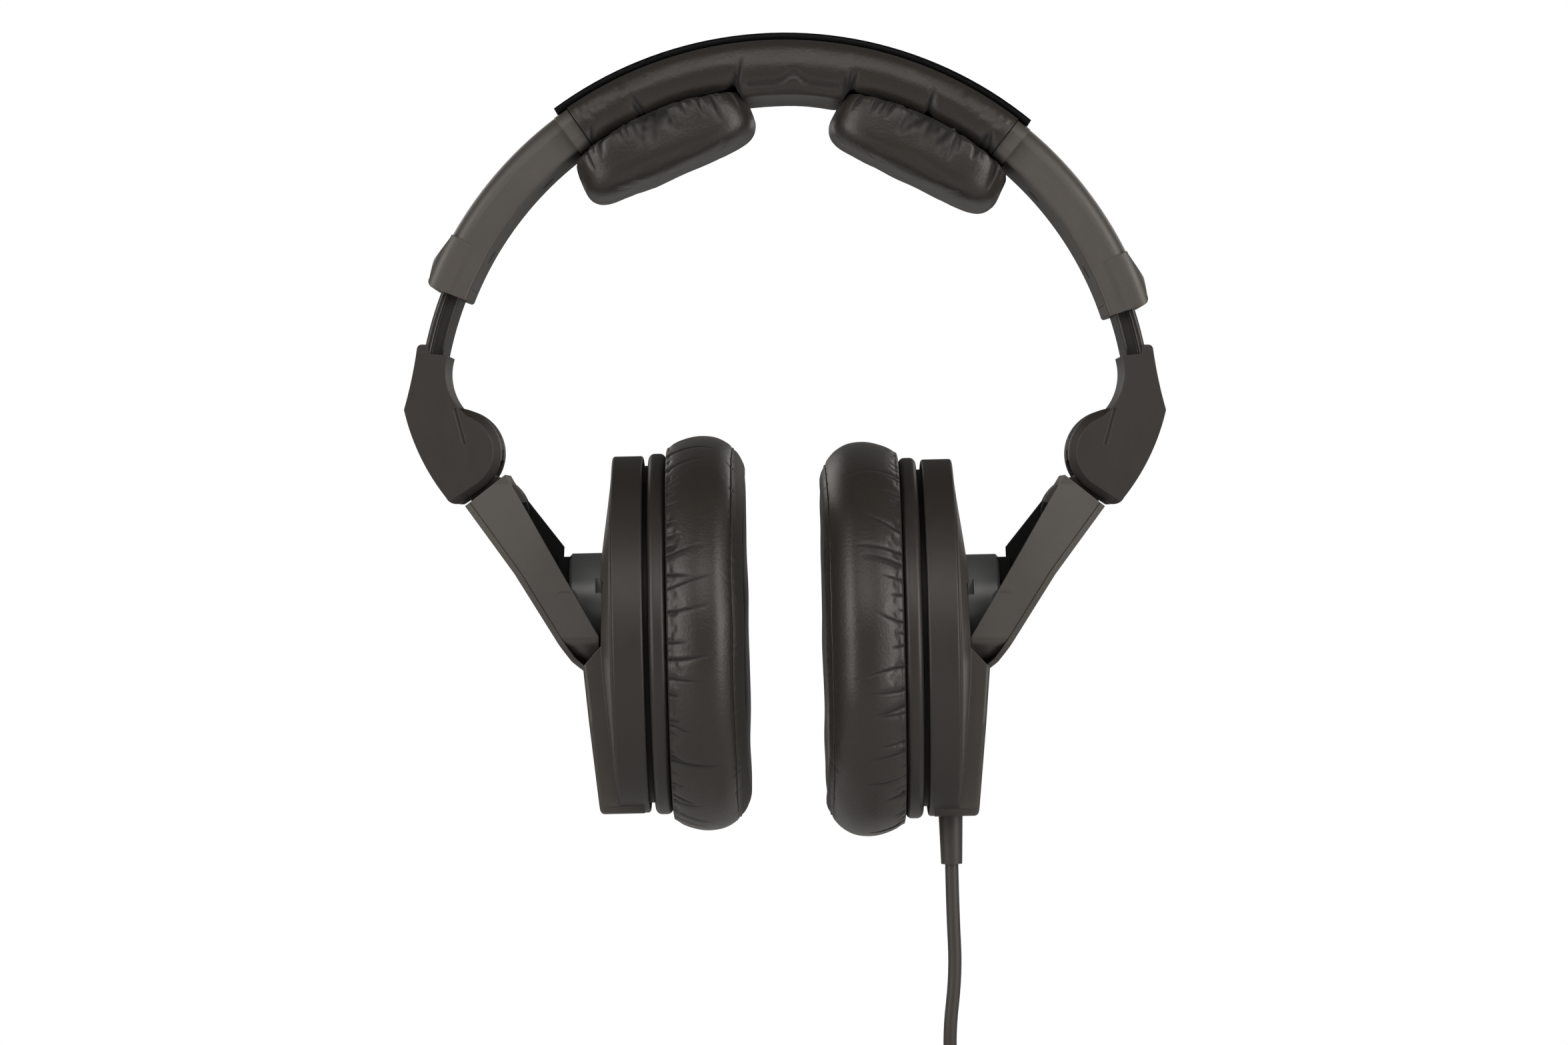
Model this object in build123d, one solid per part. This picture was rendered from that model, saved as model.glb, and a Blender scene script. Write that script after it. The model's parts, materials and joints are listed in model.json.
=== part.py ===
from build123d import *
import os
from math import acos, atan2, cos, degrees, hypot, pi, radians, sin, sqrt, tan

# Folding over-ear headphones, in millimetres. +Z is up and +X is the wearer's left side.
# The origin is the underside of the headband at the crown, where it rests on the head.
# Both sides are drawn for +X and mirrored. "in" points towards the head, "out" away from it.

# ---- headband arch: every arc is centred on one axis along Y ----
ARCH_Z = -81.6              # height of the arch's centre
CROWN_R = 81.6              # underside of the sleeve at the crown
SLEEVE_R = 84.9             # underside of the sleeve over the crown pads
ARM_IN_R = 85.5             # inner face of the plastic arms
ARM_OUT_R = 96.0            # outer face of the plastic arms
TRIM_R = 97.7               # top of the trim strip
SLEEVE_ANGLE = 36.2         # the sleeve ends this far from the vertical, in degrees
TRIM_ANGLE = 37.8           # the trim covers the collar at the top of each arm as far as this
COLLAR_ANGLE = 38.6         # the collar ends here
ARM_ANGLE = 70.5            # the arms end here
BAND_ROLL = 1.4             # the headband has slid round by this much, lower on the left side
SLEEVE_WIDTH = 37.0
ARM_WIDTH = 28.0
SEAT_GAP = 0.05             # gap left between curved faces that rest on each other
SLEEVE_OUT_R = 95.8         # top of the sleeve and of the collars, under the trim

# ---- crown pads ----
PAD_ANGLE = 24.7            # middle of each pad from the vertical
PAD_HALF_LENGTH = 22.5
PAD_CHORD_R = 69.3          # the pads' flat underside, measured from the arch's centre
PAD_TOP_R = 84.6
PAD_WIDTH = 40.0
CROWN_LUMP_ANGLE = 7.6      # the sleeve is thick between the pads, out to this angle

# ---- spring band, slide rail ----
SPRING_R = (93.2, 94.2)
SPRING_WIDTH = 14.0
SPRING_ANGLE = 60.0
DUCT_R = (88.4, 91.6)       # duct for the lead to the far side's driver
DUCT_WIDTH = 3.2
LEAD_GAP = 0.2
RAIL_R = (87.4, 92.6)
RAIL_WIDTH = 20.0
RAIL_ANGLES = (52.0, 86.9)
SLIDE_GAP = 0.35
ARM_COVER_R = 86.9          # outer face of each arm's inner cover
COVER_SCREW_ANGLES = (46.0, 62.0)
SCREW_SEAT_R = 86.2         # floor of the recess round each cover screw's head

# ---- fold hinge and shoulder ----
HINGE_X = 82.7
HINGE_Z = -89.2
LOBE_R = 11.2
SHOULDER_HALF = 13.0        # half the shoulder's depth, front to back
LOBE_BEVEL = 1.8
CREASE_DEPTH = 0.5          # of the crease beside the lobe's disc
KNUCKLE_R = 7.6
KNUCKLE_HALF = 6.9
HINGE_PIN_R = 2.0
FIT = 0.05                  # radial clearance of a running fit

# ---- arm of the ear cup ----
COVER_THICK = 1.4
WEB_THICK = 1.0
FLANGE_THICK = 2.4
ARM_TOP_HALF = 13.0         # half the arm's depth at its top
ARM_LOW_HALF = 17.2         # and at the corners of its lower end
ARM_CORNER_Z = -136.8
ARM_BOTTOM_Z = -143.6       # middle of the body's shallow round end
COVER_CORNER_Z = -138.4
COVER_BOTTOM_Z = -145.4     # the cover ends lower than the body
COVER_OVERHANG = 0.3
RIB_HALF = 1.6
ARM_CORNER_R = 2.5
ROOT_R = 9.9                # round root under the hinge knuckle

# ---- tilt pin and swivel post ----
TILT_X = 55.4
TILT_Z = -126.7
TILT_PIN_R = 1.3
TILT_PIN_HALF = 15.2
BOSS_HALF = (12.5, 15.9)    # the bosses that carry the pin's ends
POST_R = 12.0
POST_OUT_X = 54.2
POST_IN_X = 46.0
LUG_REACH = 3.0             # two stop lugs on the post pass beside the arm's rib
LUG_SIDES = (2.3, 4.5)
STEM_R = 7.0
NECK_R = 5.0
CUP_LEAN = -1.26            # both cups lean, their bottoms towards +X, in degrees

# ---- ear cup: ovals in the YZ plane, X measured outwards from the middle of the head ----
CUP_Z = -135.6
BAND_X = (35.1, 42.9)
BAND_HALF = (39.0, 45.25)   # half depth (Y) and half height (Z)
RING_X = (29.4, 33.8)
RING_HALF = (39.5, 45.75)
CUSHION_X = (9.2, 29.2)
CUSHION_HALF = (43.0, 50.0)
EAR_HALF = (21.0, 30.0)
SHELL_WALL = 2.2
CAVITY_X = 41.8             # inside of the shell's outer wall
RECESS_X = 44.0             # floor of the recess under the arm's round end
RECESS_R = 21.8
RECESS_TOP_Z = -121.7       # room for the arm's corners when the cup swivels
DRIVER_R = 20.0

# ---- cord ----
CORD_D = 3.4
CORD_X = 40.85              # before the cup leans
RELIEF_TOP_Z = -180.9
RELIEF_LENGTH = 12.2
COIL_R = 19.5               # middle of the coil's turns
COIL_LAYERS = 3             # turns beside each other, outwards
COIL_ROWS = 4               # turns beside each other, front to back
PLUG_R = 1.75               # 3.5 mm plug
PLUG_LENGTH = 14.0
INSULATOR_DEPTH = 0.3       # grooves at the plug's insulator rings

ARCH_AXIS = Axis((0, 0, ARCH_Z), (0, 1, 0))
CUP_AXIS = Axis((0, 0, CUP_Z), (1, 0, 0))


# ---------------------------------------------------------------- helpers

def across(low_r, high_r, width, corner=0.0):
    """A rectangle across the headband at the top of the arch, with rounded corners."""
    plane = Plane(origin=(0, 0, ARCH_Z), x_dir=(0, 1, 0), z_dir=(1, 0, 0))
    middle = Pos(0, (low_r + high_r) / 2)
    if corner:
        return plane * middle * RectangleRounded(width, high_r - low_r, corner)
    return plane * middle * Rectangle(width, high_r - low_r)


def along_arch(section, start, stop):
    """Sweep a section round the arch, from angle start to angle stop from the vertical."""
    return revolve(section, axis=ARCH_AXIS, revolution_arc=stop - start).rotate(ARCH_AXIS, start)


def arch_point(radius, angle):
    """A point (X, Z) at a radius and an angle from the vertical of the arch."""
    return radius * sin(radians(angle)), ARCH_Z + radius * cos(radians(angle))


def at_hinge(inward, up):
    """A point (X, Z) given by its distances from the fold hinge, inwards and upwards."""
    return HINGE_X - inward, HINGE_Z + up


def round_hinge(radius, angle):
    """A point (X, Z) on a circle round the fold hinge; angle 0 points inwards, 90 up."""
    return at_hinge(radius * cos(radians(angle)), radius * sin(radians(angle)))


def front_slab(face, half_depth):
    """Extrude a face drawn in the XZ plane to both sides."""
    return extrude(face, amount=half_depth, both=True)


def front_face(*edges):
    """A face in the XZ plane from edges drawn in X and Z."""
    return Plane.XZ * make_face([edge for edge in edges])


def polygon_slab(points, half_depth):
    """Extrude the polygon through points (X, Z) to both sides."""
    return front_slab(front_face(Polyline(*points, close=True)), half_depth)


def disc(radius, x_low, x_high, z=CUP_Z, y=0.0):
    """A round disc along X."""
    centre = Pos((x_low + x_high) / 2, y, z)
    return centre * Rot(0, 90, 0) * Cylinder(radius, x_high - x_low)


def bar(radius, y_low, y_high, x, z):
    """A round bar along Y."""
    return Pos(x, (y_low + y_high) / 2, z) * Rot(90, 0, 0) * Cylinder(radius, y_high - y_low)


def oval(half, x_low, x_high, grow=0.0):
    """An oval block along X; half is its half depth (Y) and half height (Z)."""
    plane = Plane(origin=(x_low, 0, CUP_Z), x_dir=(0, 1, 0), z_dir=(1, 0, 0))
    return extrude(plane * Ellipse(half[0] + grow, half[1] + grow), amount=x_high - x_low)


def box(x, y, z):
    """A box between pairs of coordinates."""
    size = [high - low for low, high in (x, y, z)]
    middle = [(low + high) / 2 for low, high in (x, y, z)]
    return Pos(*middle) * Box(*size)


def corner_edges(part, points):
    """The part's edges along Y nearest to the points (X, Z)."""
    along_y = part.edges().filter_by(Axis.Y)
    return [along_y.sort_by_distance((x, 0, z))[0] for x, z in points]


def edges_at_x(part, x):
    """The edges of a part that lie in the plane at x."""
    return part.edges().filter_by_position(Axis.X, x - 0.01, x + 0.01)


# ---------------------------------------------------------------- headband

def make_sleeve():
    """Leatherette sleeve: a padded bar round the spring band, thicker at the crown."""
    bar_part = across(SLEEVE_R, SLEEVE_OUT_R, SLEEVE_WIDTH, 4.0)
    lump = across(CROWN_R, SLEEVE_R + 5, SLEEVE_WIDTH, 3.0)
    sleeve = along_arch(bar_part, -SLEEVE_ANGLE, SLEEVE_ANGLE)
    sleeve += along_arch(lump, -CROWN_LUMP_ANGLE, CROWN_LUMP_ANGLE)
    slot = along_arch(
        across(SPRING_R[0] - SEAT_GAP, SPRING_R[1] + SEAT_GAP, SPRING_WIDTH + 0.2),
        -SLEEVE_ANGLE - 1,
        SLEEVE_ANGLE + 1,
    )
    duct = along_arch(across(*DUCT_R, DUCT_WIDTH, 1.5), -SLEEVE_ANGLE - 1, SLEEVE_ANGLE + 1)
    return sleeve - slot - duct


def make_trim():
    """Thin strip along the top of the sleeve."""
    strip = across(SLEEVE_OUT_R + SEAT_GAP, TRIM_R, 31.0, 0.8)
    return along_arch(strip, -TRIM_ANGLE, TRIM_ANGLE)


def make_spring_band():
    """Spring steel strip that carries both arms."""
    return along_arch(across(*SPRING_R, SPRING_WIDTH), -SPRING_ANGLE, SPRING_ANGLE)


def make_crossover_lead():
    """Lead through the headband to the far side's driver."""
    low, high = DUCT_R
    lead = across(low + LEAD_GAP, high - LEAD_GAP, DUCT_WIDTH - 2 * LEAD_GAP, 1.35)
    return along_arch(lead, -SLEEVE_ANGLE - 2, SLEEVE_ANGLE + 2)


def make_crown_pad():
    """Pad under the sleeve: flat underside on a chord, curved back against the sleeve."""
    bottom = ARCH_Z + PAD_CHORD_R
    side_z = ARCH_Z + sqrt(PAD_TOP_R**2 - PAD_HALF_LENGTH**2)
    corner = 6.5
    face = front_face(
        Line((-PAD_HALF_LENGTH + corner, bottom), (PAD_HALF_LENGTH - corner, bottom)),
        TangentArc(
            (PAD_HALF_LENGTH - corner, bottom), (PAD_HALF_LENGTH, bottom + corner), tangent=(1, 0)
        ),
        Line((PAD_HALF_LENGTH, bottom + corner), (PAD_HALF_LENGTH, side_z)),
        ThreePointArc(
            (PAD_HALF_LENGTH, side_z), (0, ARCH_Z + PAD_TOP_R), (-PAD_HALF_LENGTH, side_z)
        ),
        Line((-PAD_HALF_LENGTH, side_z), (-PAD_HALF_LENGTH, bottom + corner)),
        TangentArc(
            (-PAD_HALF_LENGTH, bottom + corner), (-PAD_HALF_LENGTH + corner, bottom), tangent=(0, -1)
        ),
    )
    pad = front_slab(face, PAD_WIDTH / 2)
    return pad.rotate(ARCH_AXIS, PAD_ANGLE)


def arm_outline():
    """Front outline of an arm: two arcs, with the flared and rounded lower end."""
    inner_top = arch_point(ARM_IN_R, TRIM_ANGLE + 0.1)
    inner_middle = arch_point(ARM_IN_R, 54)
    inner_end = arch_point(ARM_IN_R, ARM_ANGLE - 0.55)
    corner_middle = arch_point(ARM_IN_R + 0.24, ARM_ANGLE - 0.16)
    corner_end = arch_point(ARM_IN_R + 0.8, ARM_ANGLE)
    end_in = arch_point(ARM_OUT_R - 1.6, ARM_ANGLE)
    end_out = arch_point(ARM_OUT_R + 0.4, ARM_ANGLE - 1.2)
    flare = arch_point(ARM_OUT_R + 1.35, 66.6)
    flare_start = arch_point(ARM_OUT_R, 62.6)
    outer_middle = arch_point(ARM_OUT_R, 50)
    outer_top = arch_point(ARM_OUT_R, TRIM_ANGLE + 0.1)
    return front_face(
        ThreePointArc(inner_top, inner_middle, inner_end),
        ThreePointArc(inner_end, corner_middle, corner_end),
        Line(corner_end, end_in),
        ThreePointArc(end_in, arch_point(ARM_OUT_R - 0.1, ARM_ANGLE - 0.3), end_out),
        Line(end_out, flare),
        Line(flare, flare_start),
        ThreePointArc(flare_start, outer_middle, outer_top),
        Line(outer_top, inner_top),
    )


def make_arm_shell():
    """Plastic housing that the rail slides into, open inwards under its cover."""
    rounded = across(ARM_IN_R + 1, ARM_OUT_R, ARM_WIDTH, 4.0)
    squared = across(ARM_IN_R, ARM_OUT_R - 5, ARM_WIDTH, 1.0)
    flared = across(ARM_IN_R + 1, ARM_OUT_R + 1.4, ARM_WIDTH + 0.6, 4.0)
    shell = along_arch(rounded, TRIM_ANGLE + 0.1, ARM_ANGLE)
    shell += along_arch(squared, TRIM_ANGLE + 0.1, ARM_ANGLE)
    shell += along_arch(flared, 62.0, ARM_ANGLE)
    shell &= front_slab(arm_outline(), ARM_WIDTH)
    collar = along_arch(
        across(SLEEVE_R - 0.2, SLEEVE_OUT_R, 34.0, 3.5), SLEEVE_ANGLE + 0.1, COLLAR_ANGLE
    )
    cavity = along_arch(across(86.0, 94.6, 23.0, 1.5), COLLAR_ANGLE - 1, ARM_ANGLE - 2.0)
    mouth = along_arch(across(80.0, ARM_COVER_R + SEAT_GAP, 20.6), COLLAR_ANGLE - 1, ARM_ANGLE - 2.0)
    slot = along_arch(
        across(RAIL_R[0] - SLIDE_GAP, RAIL_R[1] + SLIDE_GAP, RAIL_WIDTH + 2 * SLIDE_GAP, 0.6),
        ARM_ANGLE - 4,
        ARM_ANGLE + 2,
    )
    spring_slot = along_arch(
        across(SPRING_R[0] - SEAT_GAP, SPRING_R[1] + SEAT_GAP, SPRING_WIDTH + 0.2),
        SLEEVE_ANGLE - 1,
        COLLAR_ANGLE + 2,
    )
    duct = along_arch(across(*DUCT_R, DUCT_WIDTH, 1.5), SLEEVE_ANGLE - 1, COLLAR_ANGLE + 1)
    return shell + collar - cavity - mouth - slot - spring_slot - duct


def make_arm_cover():
    """Inner cover of an arm, a curved plate with two recessed screw holes."""
    cover = along_arch(across(ARM_IN_R, ARM_COVER_R, 20.4), COLLAR_ANGLE + 0.1, ARM_ANGLE - 2.1)
    for angle in COVER_SCREW_ANGLES:
        place = Pos(0, 0, ARCH_Z) * Rot(0, angle, 0)
        cover -= place * Pos(0, 0, ARM_COVER_R) * Cylinder(1.1, 8)
        cover -= place * Pos(0, 0, SCREW_SEAT_R - 2) * Cylinder(2.1, 4)
    return cover


def make_cover_screws():
    """The screws of one arm cover."""
    screws = []
    for angle in COVER_SCREW_ANGLES:
        place = Pos(0, 0, ARCH_Z) * Rot(0, angle, 0)
        head = place * Pos(0, 0, SCREW_SEAT_R - SEAT_GAP - 0.3) * Cylinder(2.0, 0.6)
        shank = place * Pos(0, 0, SCREW_SEAT_R + 0.4) * Cylinder(1.0, 1.2)
        screws.append(head + shank)
    return screws


def make_detent_spring():
    """Leaf spring beside the rail that clicks into its notches."""
    leaf = along_arch(across(88.6, 91.4, 0.5), 60.0, 67.0)
    return Pos(0, RAIL_WIDTH / 2 + 0.9, 0) * leaf


# ---------------------------------------------------------------- slide rail and shoulder

def make_rail():
    """Slide rail: a rod-edged outer strip, a recessed web and a thin inner strip."""
    outer = across(RAIL_R[1] - 1.9, RAIL_R[1], RAIL_WIDTH, 0.9)
    web = across(RAIL_R[0] + 0.4, RAIL_R[1] - 1, RAIL_WIDTH - 2.4)
    inner = across(RAIL_R[0], RAIL_R[0] + 0.7, RAIL_WIDTH - 0.6, 0.3)
    rail = along_arch(outer, *RAIL_ANGLES) + along_arch(web, *RAIL_ANGLES)
    rail += along_arch(inner, *RAIL_ANGLES)
    for x, z in shoulder_screw_places():
        rail -= bar(1.2, -20, 20, x, z)
    return rail


def shoulder_screw_places():
    """Where the two shoulder screws cross the end of the rail, as (X, Z)."""
    return [arch_point(89.9, angle) for angle in (81.0, 84.9)]


SHOULDER_TIP = (0.8, -12.9)             # inwards and up from the hinge
SHOULDER_TOP = (-9.6, 27.1)
SHOULDER_STEP = (-6.9, 24.8)            # the outer wall stands higher than the rest of the top


def shoulder_outline():
    """Front outline of the shoulder, from its top round the pointed back to the hinge lobe."""
    tip = at_hinge(*SHOULDER_TIP)
    tip_angle = degrees(atan2(SHOULDER_TIP[1], SHOULDER_TIP[0]))
    touch = tip_angle + degrees(acos(LOBE_R / hypot(*SHOULDER_TIP)))
    top_out = at_hinge(*SHOULDER_TOP)
    back = at_hinge(-13.0, 10.7)
    lower = at_hinge(-2.4, -11.4)
    junction = round_hinge(LOBE_R, 86)
    top_in = at_hinge(-2.0, 24.3)
    step_top = at_hinge(SHOULDER_STEP[0], SHOULDER_TOP[1])
    return front_face(
        ThreePointArc(top_out, at_hinge(-11.0, 18.8), back),
        ThreePointArc(back, at_hinge(-9.2, -0.4), lower),
        ThreePointArc(lower, at_hinge(-1.1, -12.7), tip),
        Line(tip, round_hinge(LOBE_R, touch)),
        ThreePointArc(round_hinge(LOBE_R, touch), round_hinge(LOBE_R, 15), junction),
        ThreePointArc(junction, at_hinge(-2.2, 17.0), top_in),
        Line(top_in, at_hinge(*SHOULDER_STEP)),
        Line(at_hinge(*SHOULDER_STEP), step_top),
        Line(step_top, top_out),
    )


def crease(side):
    """Shallow V-shaped groove down the shoulder's front or back face, beside the lobe's disc."""
    top = Vector(HINGE_X + 0.2, side * SHOULDER_HALF, HINGE_Z + 11.0)
    bottom = Vector(HINGE_X - 2.2, side * SHOULDER_HALF, HINGE_Z + 2.1)
    along = bottom - top
    plane = Plane(origin=top, x_dir=(0, 1, 0), z_dir=along)
    section = Rot(0, 0, 45) * Rectangle(CREASE_DEPTH * sqrt(2), CREASE_DEPTH * sqrt(2))
    return extrude(plane * section, amount=along.length)


def make_shoulder():
    """The whole shoulder before it is split: a clevis for the hinge, a socket for the rail."""
    shoulder = front_slab(shoulder_outline(), SHOULDER_HALF)
    shoulder = fillet(corner_edges(shoulder, [at_hinge(*SHOULDER_TOP)]), 1.2)
    rims = shoulder.edges().filter_by(lambda e: abs(e.tangent_at(0.5).Y) < 0.1)
    lobe = [e for e in rims if e.geom_type == GeomType.CIRCLE and abs(e.radius - LOBE_R) < 0.01]
    shoulder = chamfer(lobe, LOBE_BEVEL)
    for side in (-1, 1):
        shoulder -= crease(side)
    slot = bar(KNUCKLE_R + 0.4, -7.3, 7.3, HINGE_X, HINGE_Z)
    way = polygon_slab(
        [at_hinge(0, 0), round_hinge(24, -99), round_hinge(30, -55), round_hinge(24, -10)], 7.3
    )
    sector_seat = polygon_slab(
        [at_hinge(0, 0), round_hinge(24, -11), round_hinge(28, 40), round_hinge(24, 84)], 3.6
    )
    socket = along_arch(
        across(RAIL_R[0], RAIL_R[1], RAIL_WIDTH), RAIL_ANGLES[1] - 12, RAIL_ANGLES[1] + 0.1
    )
    pin_hole = bar(HINGE_PIN_R + FIT, -11.6, 11.6, HINGE_X, HINGE_Z)
    shoulder -= slot + way + pin_hole
    shoulder -= sector_seat & bar(LOBE_R + 1, -4, 4, HINGE_X, HINGE_Z)
    shoulder -= socket
    for x, z in shoulder_screw_places():
        shoulder -= bar(1.05, -10.5, SHOULDER_HALF + 1, x, z)
        shoulder -= bar(2.2, SHOULDER_HALF - 2.2, SHOULDER_HALF + 1, x, z)
    return shoulder


def split_shoulder(shoulder):
    """The front and back halves of the shoulder."""
    x, z = (HINGE_X - 40, HINGE_X + 40), (HINGE_Z - 40, HINGE_Z + 40)
    return shoulder & box(x, (-30, 0), z), shoulder & box(x, (0, 30), z)


def make_shoulder_screws():
    """Screws that clamp the shoulder's halves on the rail."""
    screws = []
    for x, z in shoulder_screw_places():
        head = bar(2.0, SHOULDER_HALF - 2.1, SHOULDER_HALF - 0.7, x, z)
        screws.append(head + bar(1.0, -10.0, SHOULDER_HALF - 2.1, x, z))
    return screws


def make_detent_sector():
    """Toothed sector between the shoulder's ears that holds the fold hinge open."""
    sector = bar(LOBE_R, -3.4, 3.4, HINGE_X, HINGE_Z) - bar(KNUCKLE_R + 0.5, -4, 4, HINGE_X, HINGE_Z)
    wedge = polygon_slab(
        [at_hinge(0, 0), round_hinge(24, 4), round_hinge(28, 45), round_hinge(24, 83)], 6
    )
    sector &= wedge
    for tooth in range(7):
        x, z = round_hinge(LOBE_R + 0.1, 22 + 7 * tooth)
        sector -= bar(0.45, -4, 4, x, z)
    return sector


# ---------------------------------------------------------------- arm of the ear cup

ARM_TOP = [at_hinge(2.4, -13.5), at_hinge(12.4, -5.6)]
ARM_BACK = [(2.4, -13.5), (14.9, -30.5), (25.9, -47.9), (29.2, -52.6), (33.0, -56.1)]


def back_offset(depth):
    """The arm's outer edge, moved inwards by depth, as points (X, Z)."""
    moved = []
    for n, (u, w) in enumerate(ARM_BACK):
        before = ARM_BACK[max(n - 1, 0)]
        after = ARM_BACK[min(n + 1, len(ARM_BACK) - 1)]
        du, dw = after[0] - before[0], after[1] - before[1]
        length = hypot(du, dw)
        moved.append(at_hinge(u - dw / length * depth, w + du / length * depth))
    return moved


def arm_region(depth):
    """Everything inwards of the arm's outer edge moved in by depth."""
    edge = back_offset(depth)
    first, last = edge[0], edge[-1]
    far = [
        (last[0] - 30, last[1] - 12),
        (first[0] - 60, first[1] + 30),
        (first[0] + 14, first[1] + 19),
    ]
    return polygon_slab([*edge, *far], 30)


def arm_outer_slab():
    """The arm's front outline with its cover, extruded to more than the arm's depth."""
    points = [at_hinge(u, w) for u, w in reversed(ARM_BACK)]
    inner_x = 46.6
    low = at_hinge(HINGE_X - inner_x, -57.0)
    knee = at_hinge(HINGE_X - inner_x, -46.2)
    return polygon_slab([*points, ARM_TOP[1], knee, low], 30)


def side_outline(grow, corner_z, bottom_z):
    """The arm seen from the side: widening down to a shallow round end, cut along X."""
    top_z = HINGE_Z - 8
    top, low = ARM_TOP_HALF + grow, ARM_LOW_HALF + grow
    face = make_face(
        [
            Line((-top, top_z + 40), (top, top_z + 40)),
            Line((top, top_z + 40), (top, top_z)),
            Line((top, top_z), (low, corner_z)),
            ThreePointArc((low, corner_z), (0, bottom_z), (-low, corner_z)),
            Line((-low, corner_z), (-top, top_z)),
            Line((-top, top_z), (-top, top_z + 40)),
        ]
    )
    plane = Plane(origin=(30, 0, 0), x_dir=(0, 1, 0), z_dir=(1, 0, 0))
    outline = extrude(plane * face, amount=80)
    lower_corners = outline.edges().filter_by(Axis.X).sort_by(Axis.Z)[:2]
    return fillet(lower_corners, ARM_CORNER_R)


def arm_cavity():
    """The hollow between the arm's flanges, open towards the cup and closed under the hinge."""
    cavity = side_outline(-FLANGE_THICK, ARM_CORNER_Z + 1.2, ARM_BOTTOM_Z + FLANGE_THICK)
    cavity &= arm_region(COVER_THICK + WEB_THICK)
    top = [at_hinge(-1.0, -20.0), at_hinge(20.0, -3.4), at_hinge(60, -40), at_hinge(40, -80)]
    return cavity & polygon_slab(top, 30)


def arm_rib():
    """Thin rib down the middle of the hollow, reaching past the top of the swivel post."""
    outline = [(12.0, -9.0), (16.4, -10.7), (26.7, -23.8), (26.4, -30.4), (18.0, -31.5), (6.0, -15.0)]
    return polygon_slab([at_hinge(*point) for point in outline], RIB_HALF)


def make_yoke_arm():
    """Arm from the fold hinge to the cup: a channel with flanges, open towards the cup."""
    body = arm_outer_slab() & side_outline(0, ARM_CORNER_Z, ARM_BOTTOM_Z)
    body = body & arm_region(COVER_THICK + SEAT_GAP)
    body -= arm_cavity()
    behind_cover = arm_region(COVER_THICK + 0.3)
    root = bar(ROOT_R, -5.5, 5.5, *at_hinge(8.1, -15.75))
    neck = polygon_slab(
        [round_hinge(5, -100), round_hinge(15, -88), round_hinge(15, -34), round_hinge(5, -20)], 5.5
    )
    knuckle = bar(KNUCKLE_R, -KNUCKLE_HALF, KNUCKLE_HALF, HINGE_X, HINGE_Z)
    body += (arm_rib() & behind_cover) + (root & behind_cover) + (neck & behind_cover) + knuckle
    for side in (-1, 1):
        low, high = sorted((side * BOSS_HALF[0], side * BOSS_HALF[1]))
        body += bar(3.0, low, high, TILT_X, TILT_Z)
    body -= bar(HINGE_PIN_R + FIT, -20, 20, HINGE_X, HINGE_Z)
    body -= bar(TILT_PIN_R + FIT, -TILT_PIN_HALF - 0.2, TILT_PIN_HALF + 0.2, TILT_X, TILT_Z)
    return body


def make_yoke_cover():
    """Outer cover plate of the arm, a little wider and longer than the body."""
    whole = arm_outer_slab() & side_outline(COVER_OVERHANG, COVER_CORNER_Z, COVER_BOTTOM_Z)
    return whole - arm_region(COVER_THICK)


# ---------------------------------------------------------------- swivel post

def make_swivel_post():
    """Post that tilts in the arm and turns in the cup, with stop lugs and two small notches."""
    post = disc(POST_R, POST_IN_X, POST_OUT_X, z=TILT_Z)
    post = chamfer(edges_at_x(post, POST_OUT_X), 0.6)
    lean = Vector(-0.842, 0, 0.538)
    keep_from = Vector(TILT_X, 0, TILT_Z) + lean * -2.6
    cut = Plane(origin=keep_from, z_dir=lean)
    post = split(post, bisect_by=cut, keep=Keep.TOP)
    post += bar(3.6, -12.0, 12.0, TILT_X, TILT_Z)
    post += disc(STEM_R, 41.5, POST_IN_X, z=TILT_Z)
    post += disc(NECK_R, 40.5, 41.5, z=TILT_Z)
    post -= bar(TILT_PIN_R + FIT, -20, 20, TILT_X, TILT_Z)
    for side in (-1, 1):
        post -= box(
            (POST_IN_X - 0.5, POST_IN_X + 1.5),
            sorted((side * 10.4, side * 13)),
            (TILT_Z + 2.0, TILT_Z + 5.7),
        )
        post += box(
            (POST_OUT_X - 1.0, POST_OUT_X + LUG_REACH),
            sorted((side * LUG_SIDES[0], side * LUG_SIDES[1])),
            (TILT_Z + 5.0, TILT_Z + 11.2),
        )
    return post


def make_post_retainer():
    """Ring inside the cup that keeps the post in its hole."""
    return disc(9.2, 40.7, 41.45, z=TILT_Z) - disc(NECK_R + 0.02, 40, 42, z=TILT_Z)


# ---------------------------------------------------------------- ear cup

def make_dome():
    """Shallow dome of the shell's outer face, round about the cup's axis."""
    profile = make_face(
        [
            Line((36, CUP_Z), (47.1, CUP_Z)),
            Spline((47.1, CUP_Z), (46.1, CUP_Z + 20.5), (44.3, CUP_Z + 32.7), (42.8, CUP_Z + 44.2)),
            Line((42.8, CUP_Z + 44.2), (36, CUP_Z + 44.2)),
            Line((36, CUP_Z + 44.2), (36, CUP_Z)),
        ]
    )
    dome = revolve(Plane.XZ * profile, axis=CUP_AXIS)
    return dome & oval(BAND_HALF, 30, 60, grow=-0.9)


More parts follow.
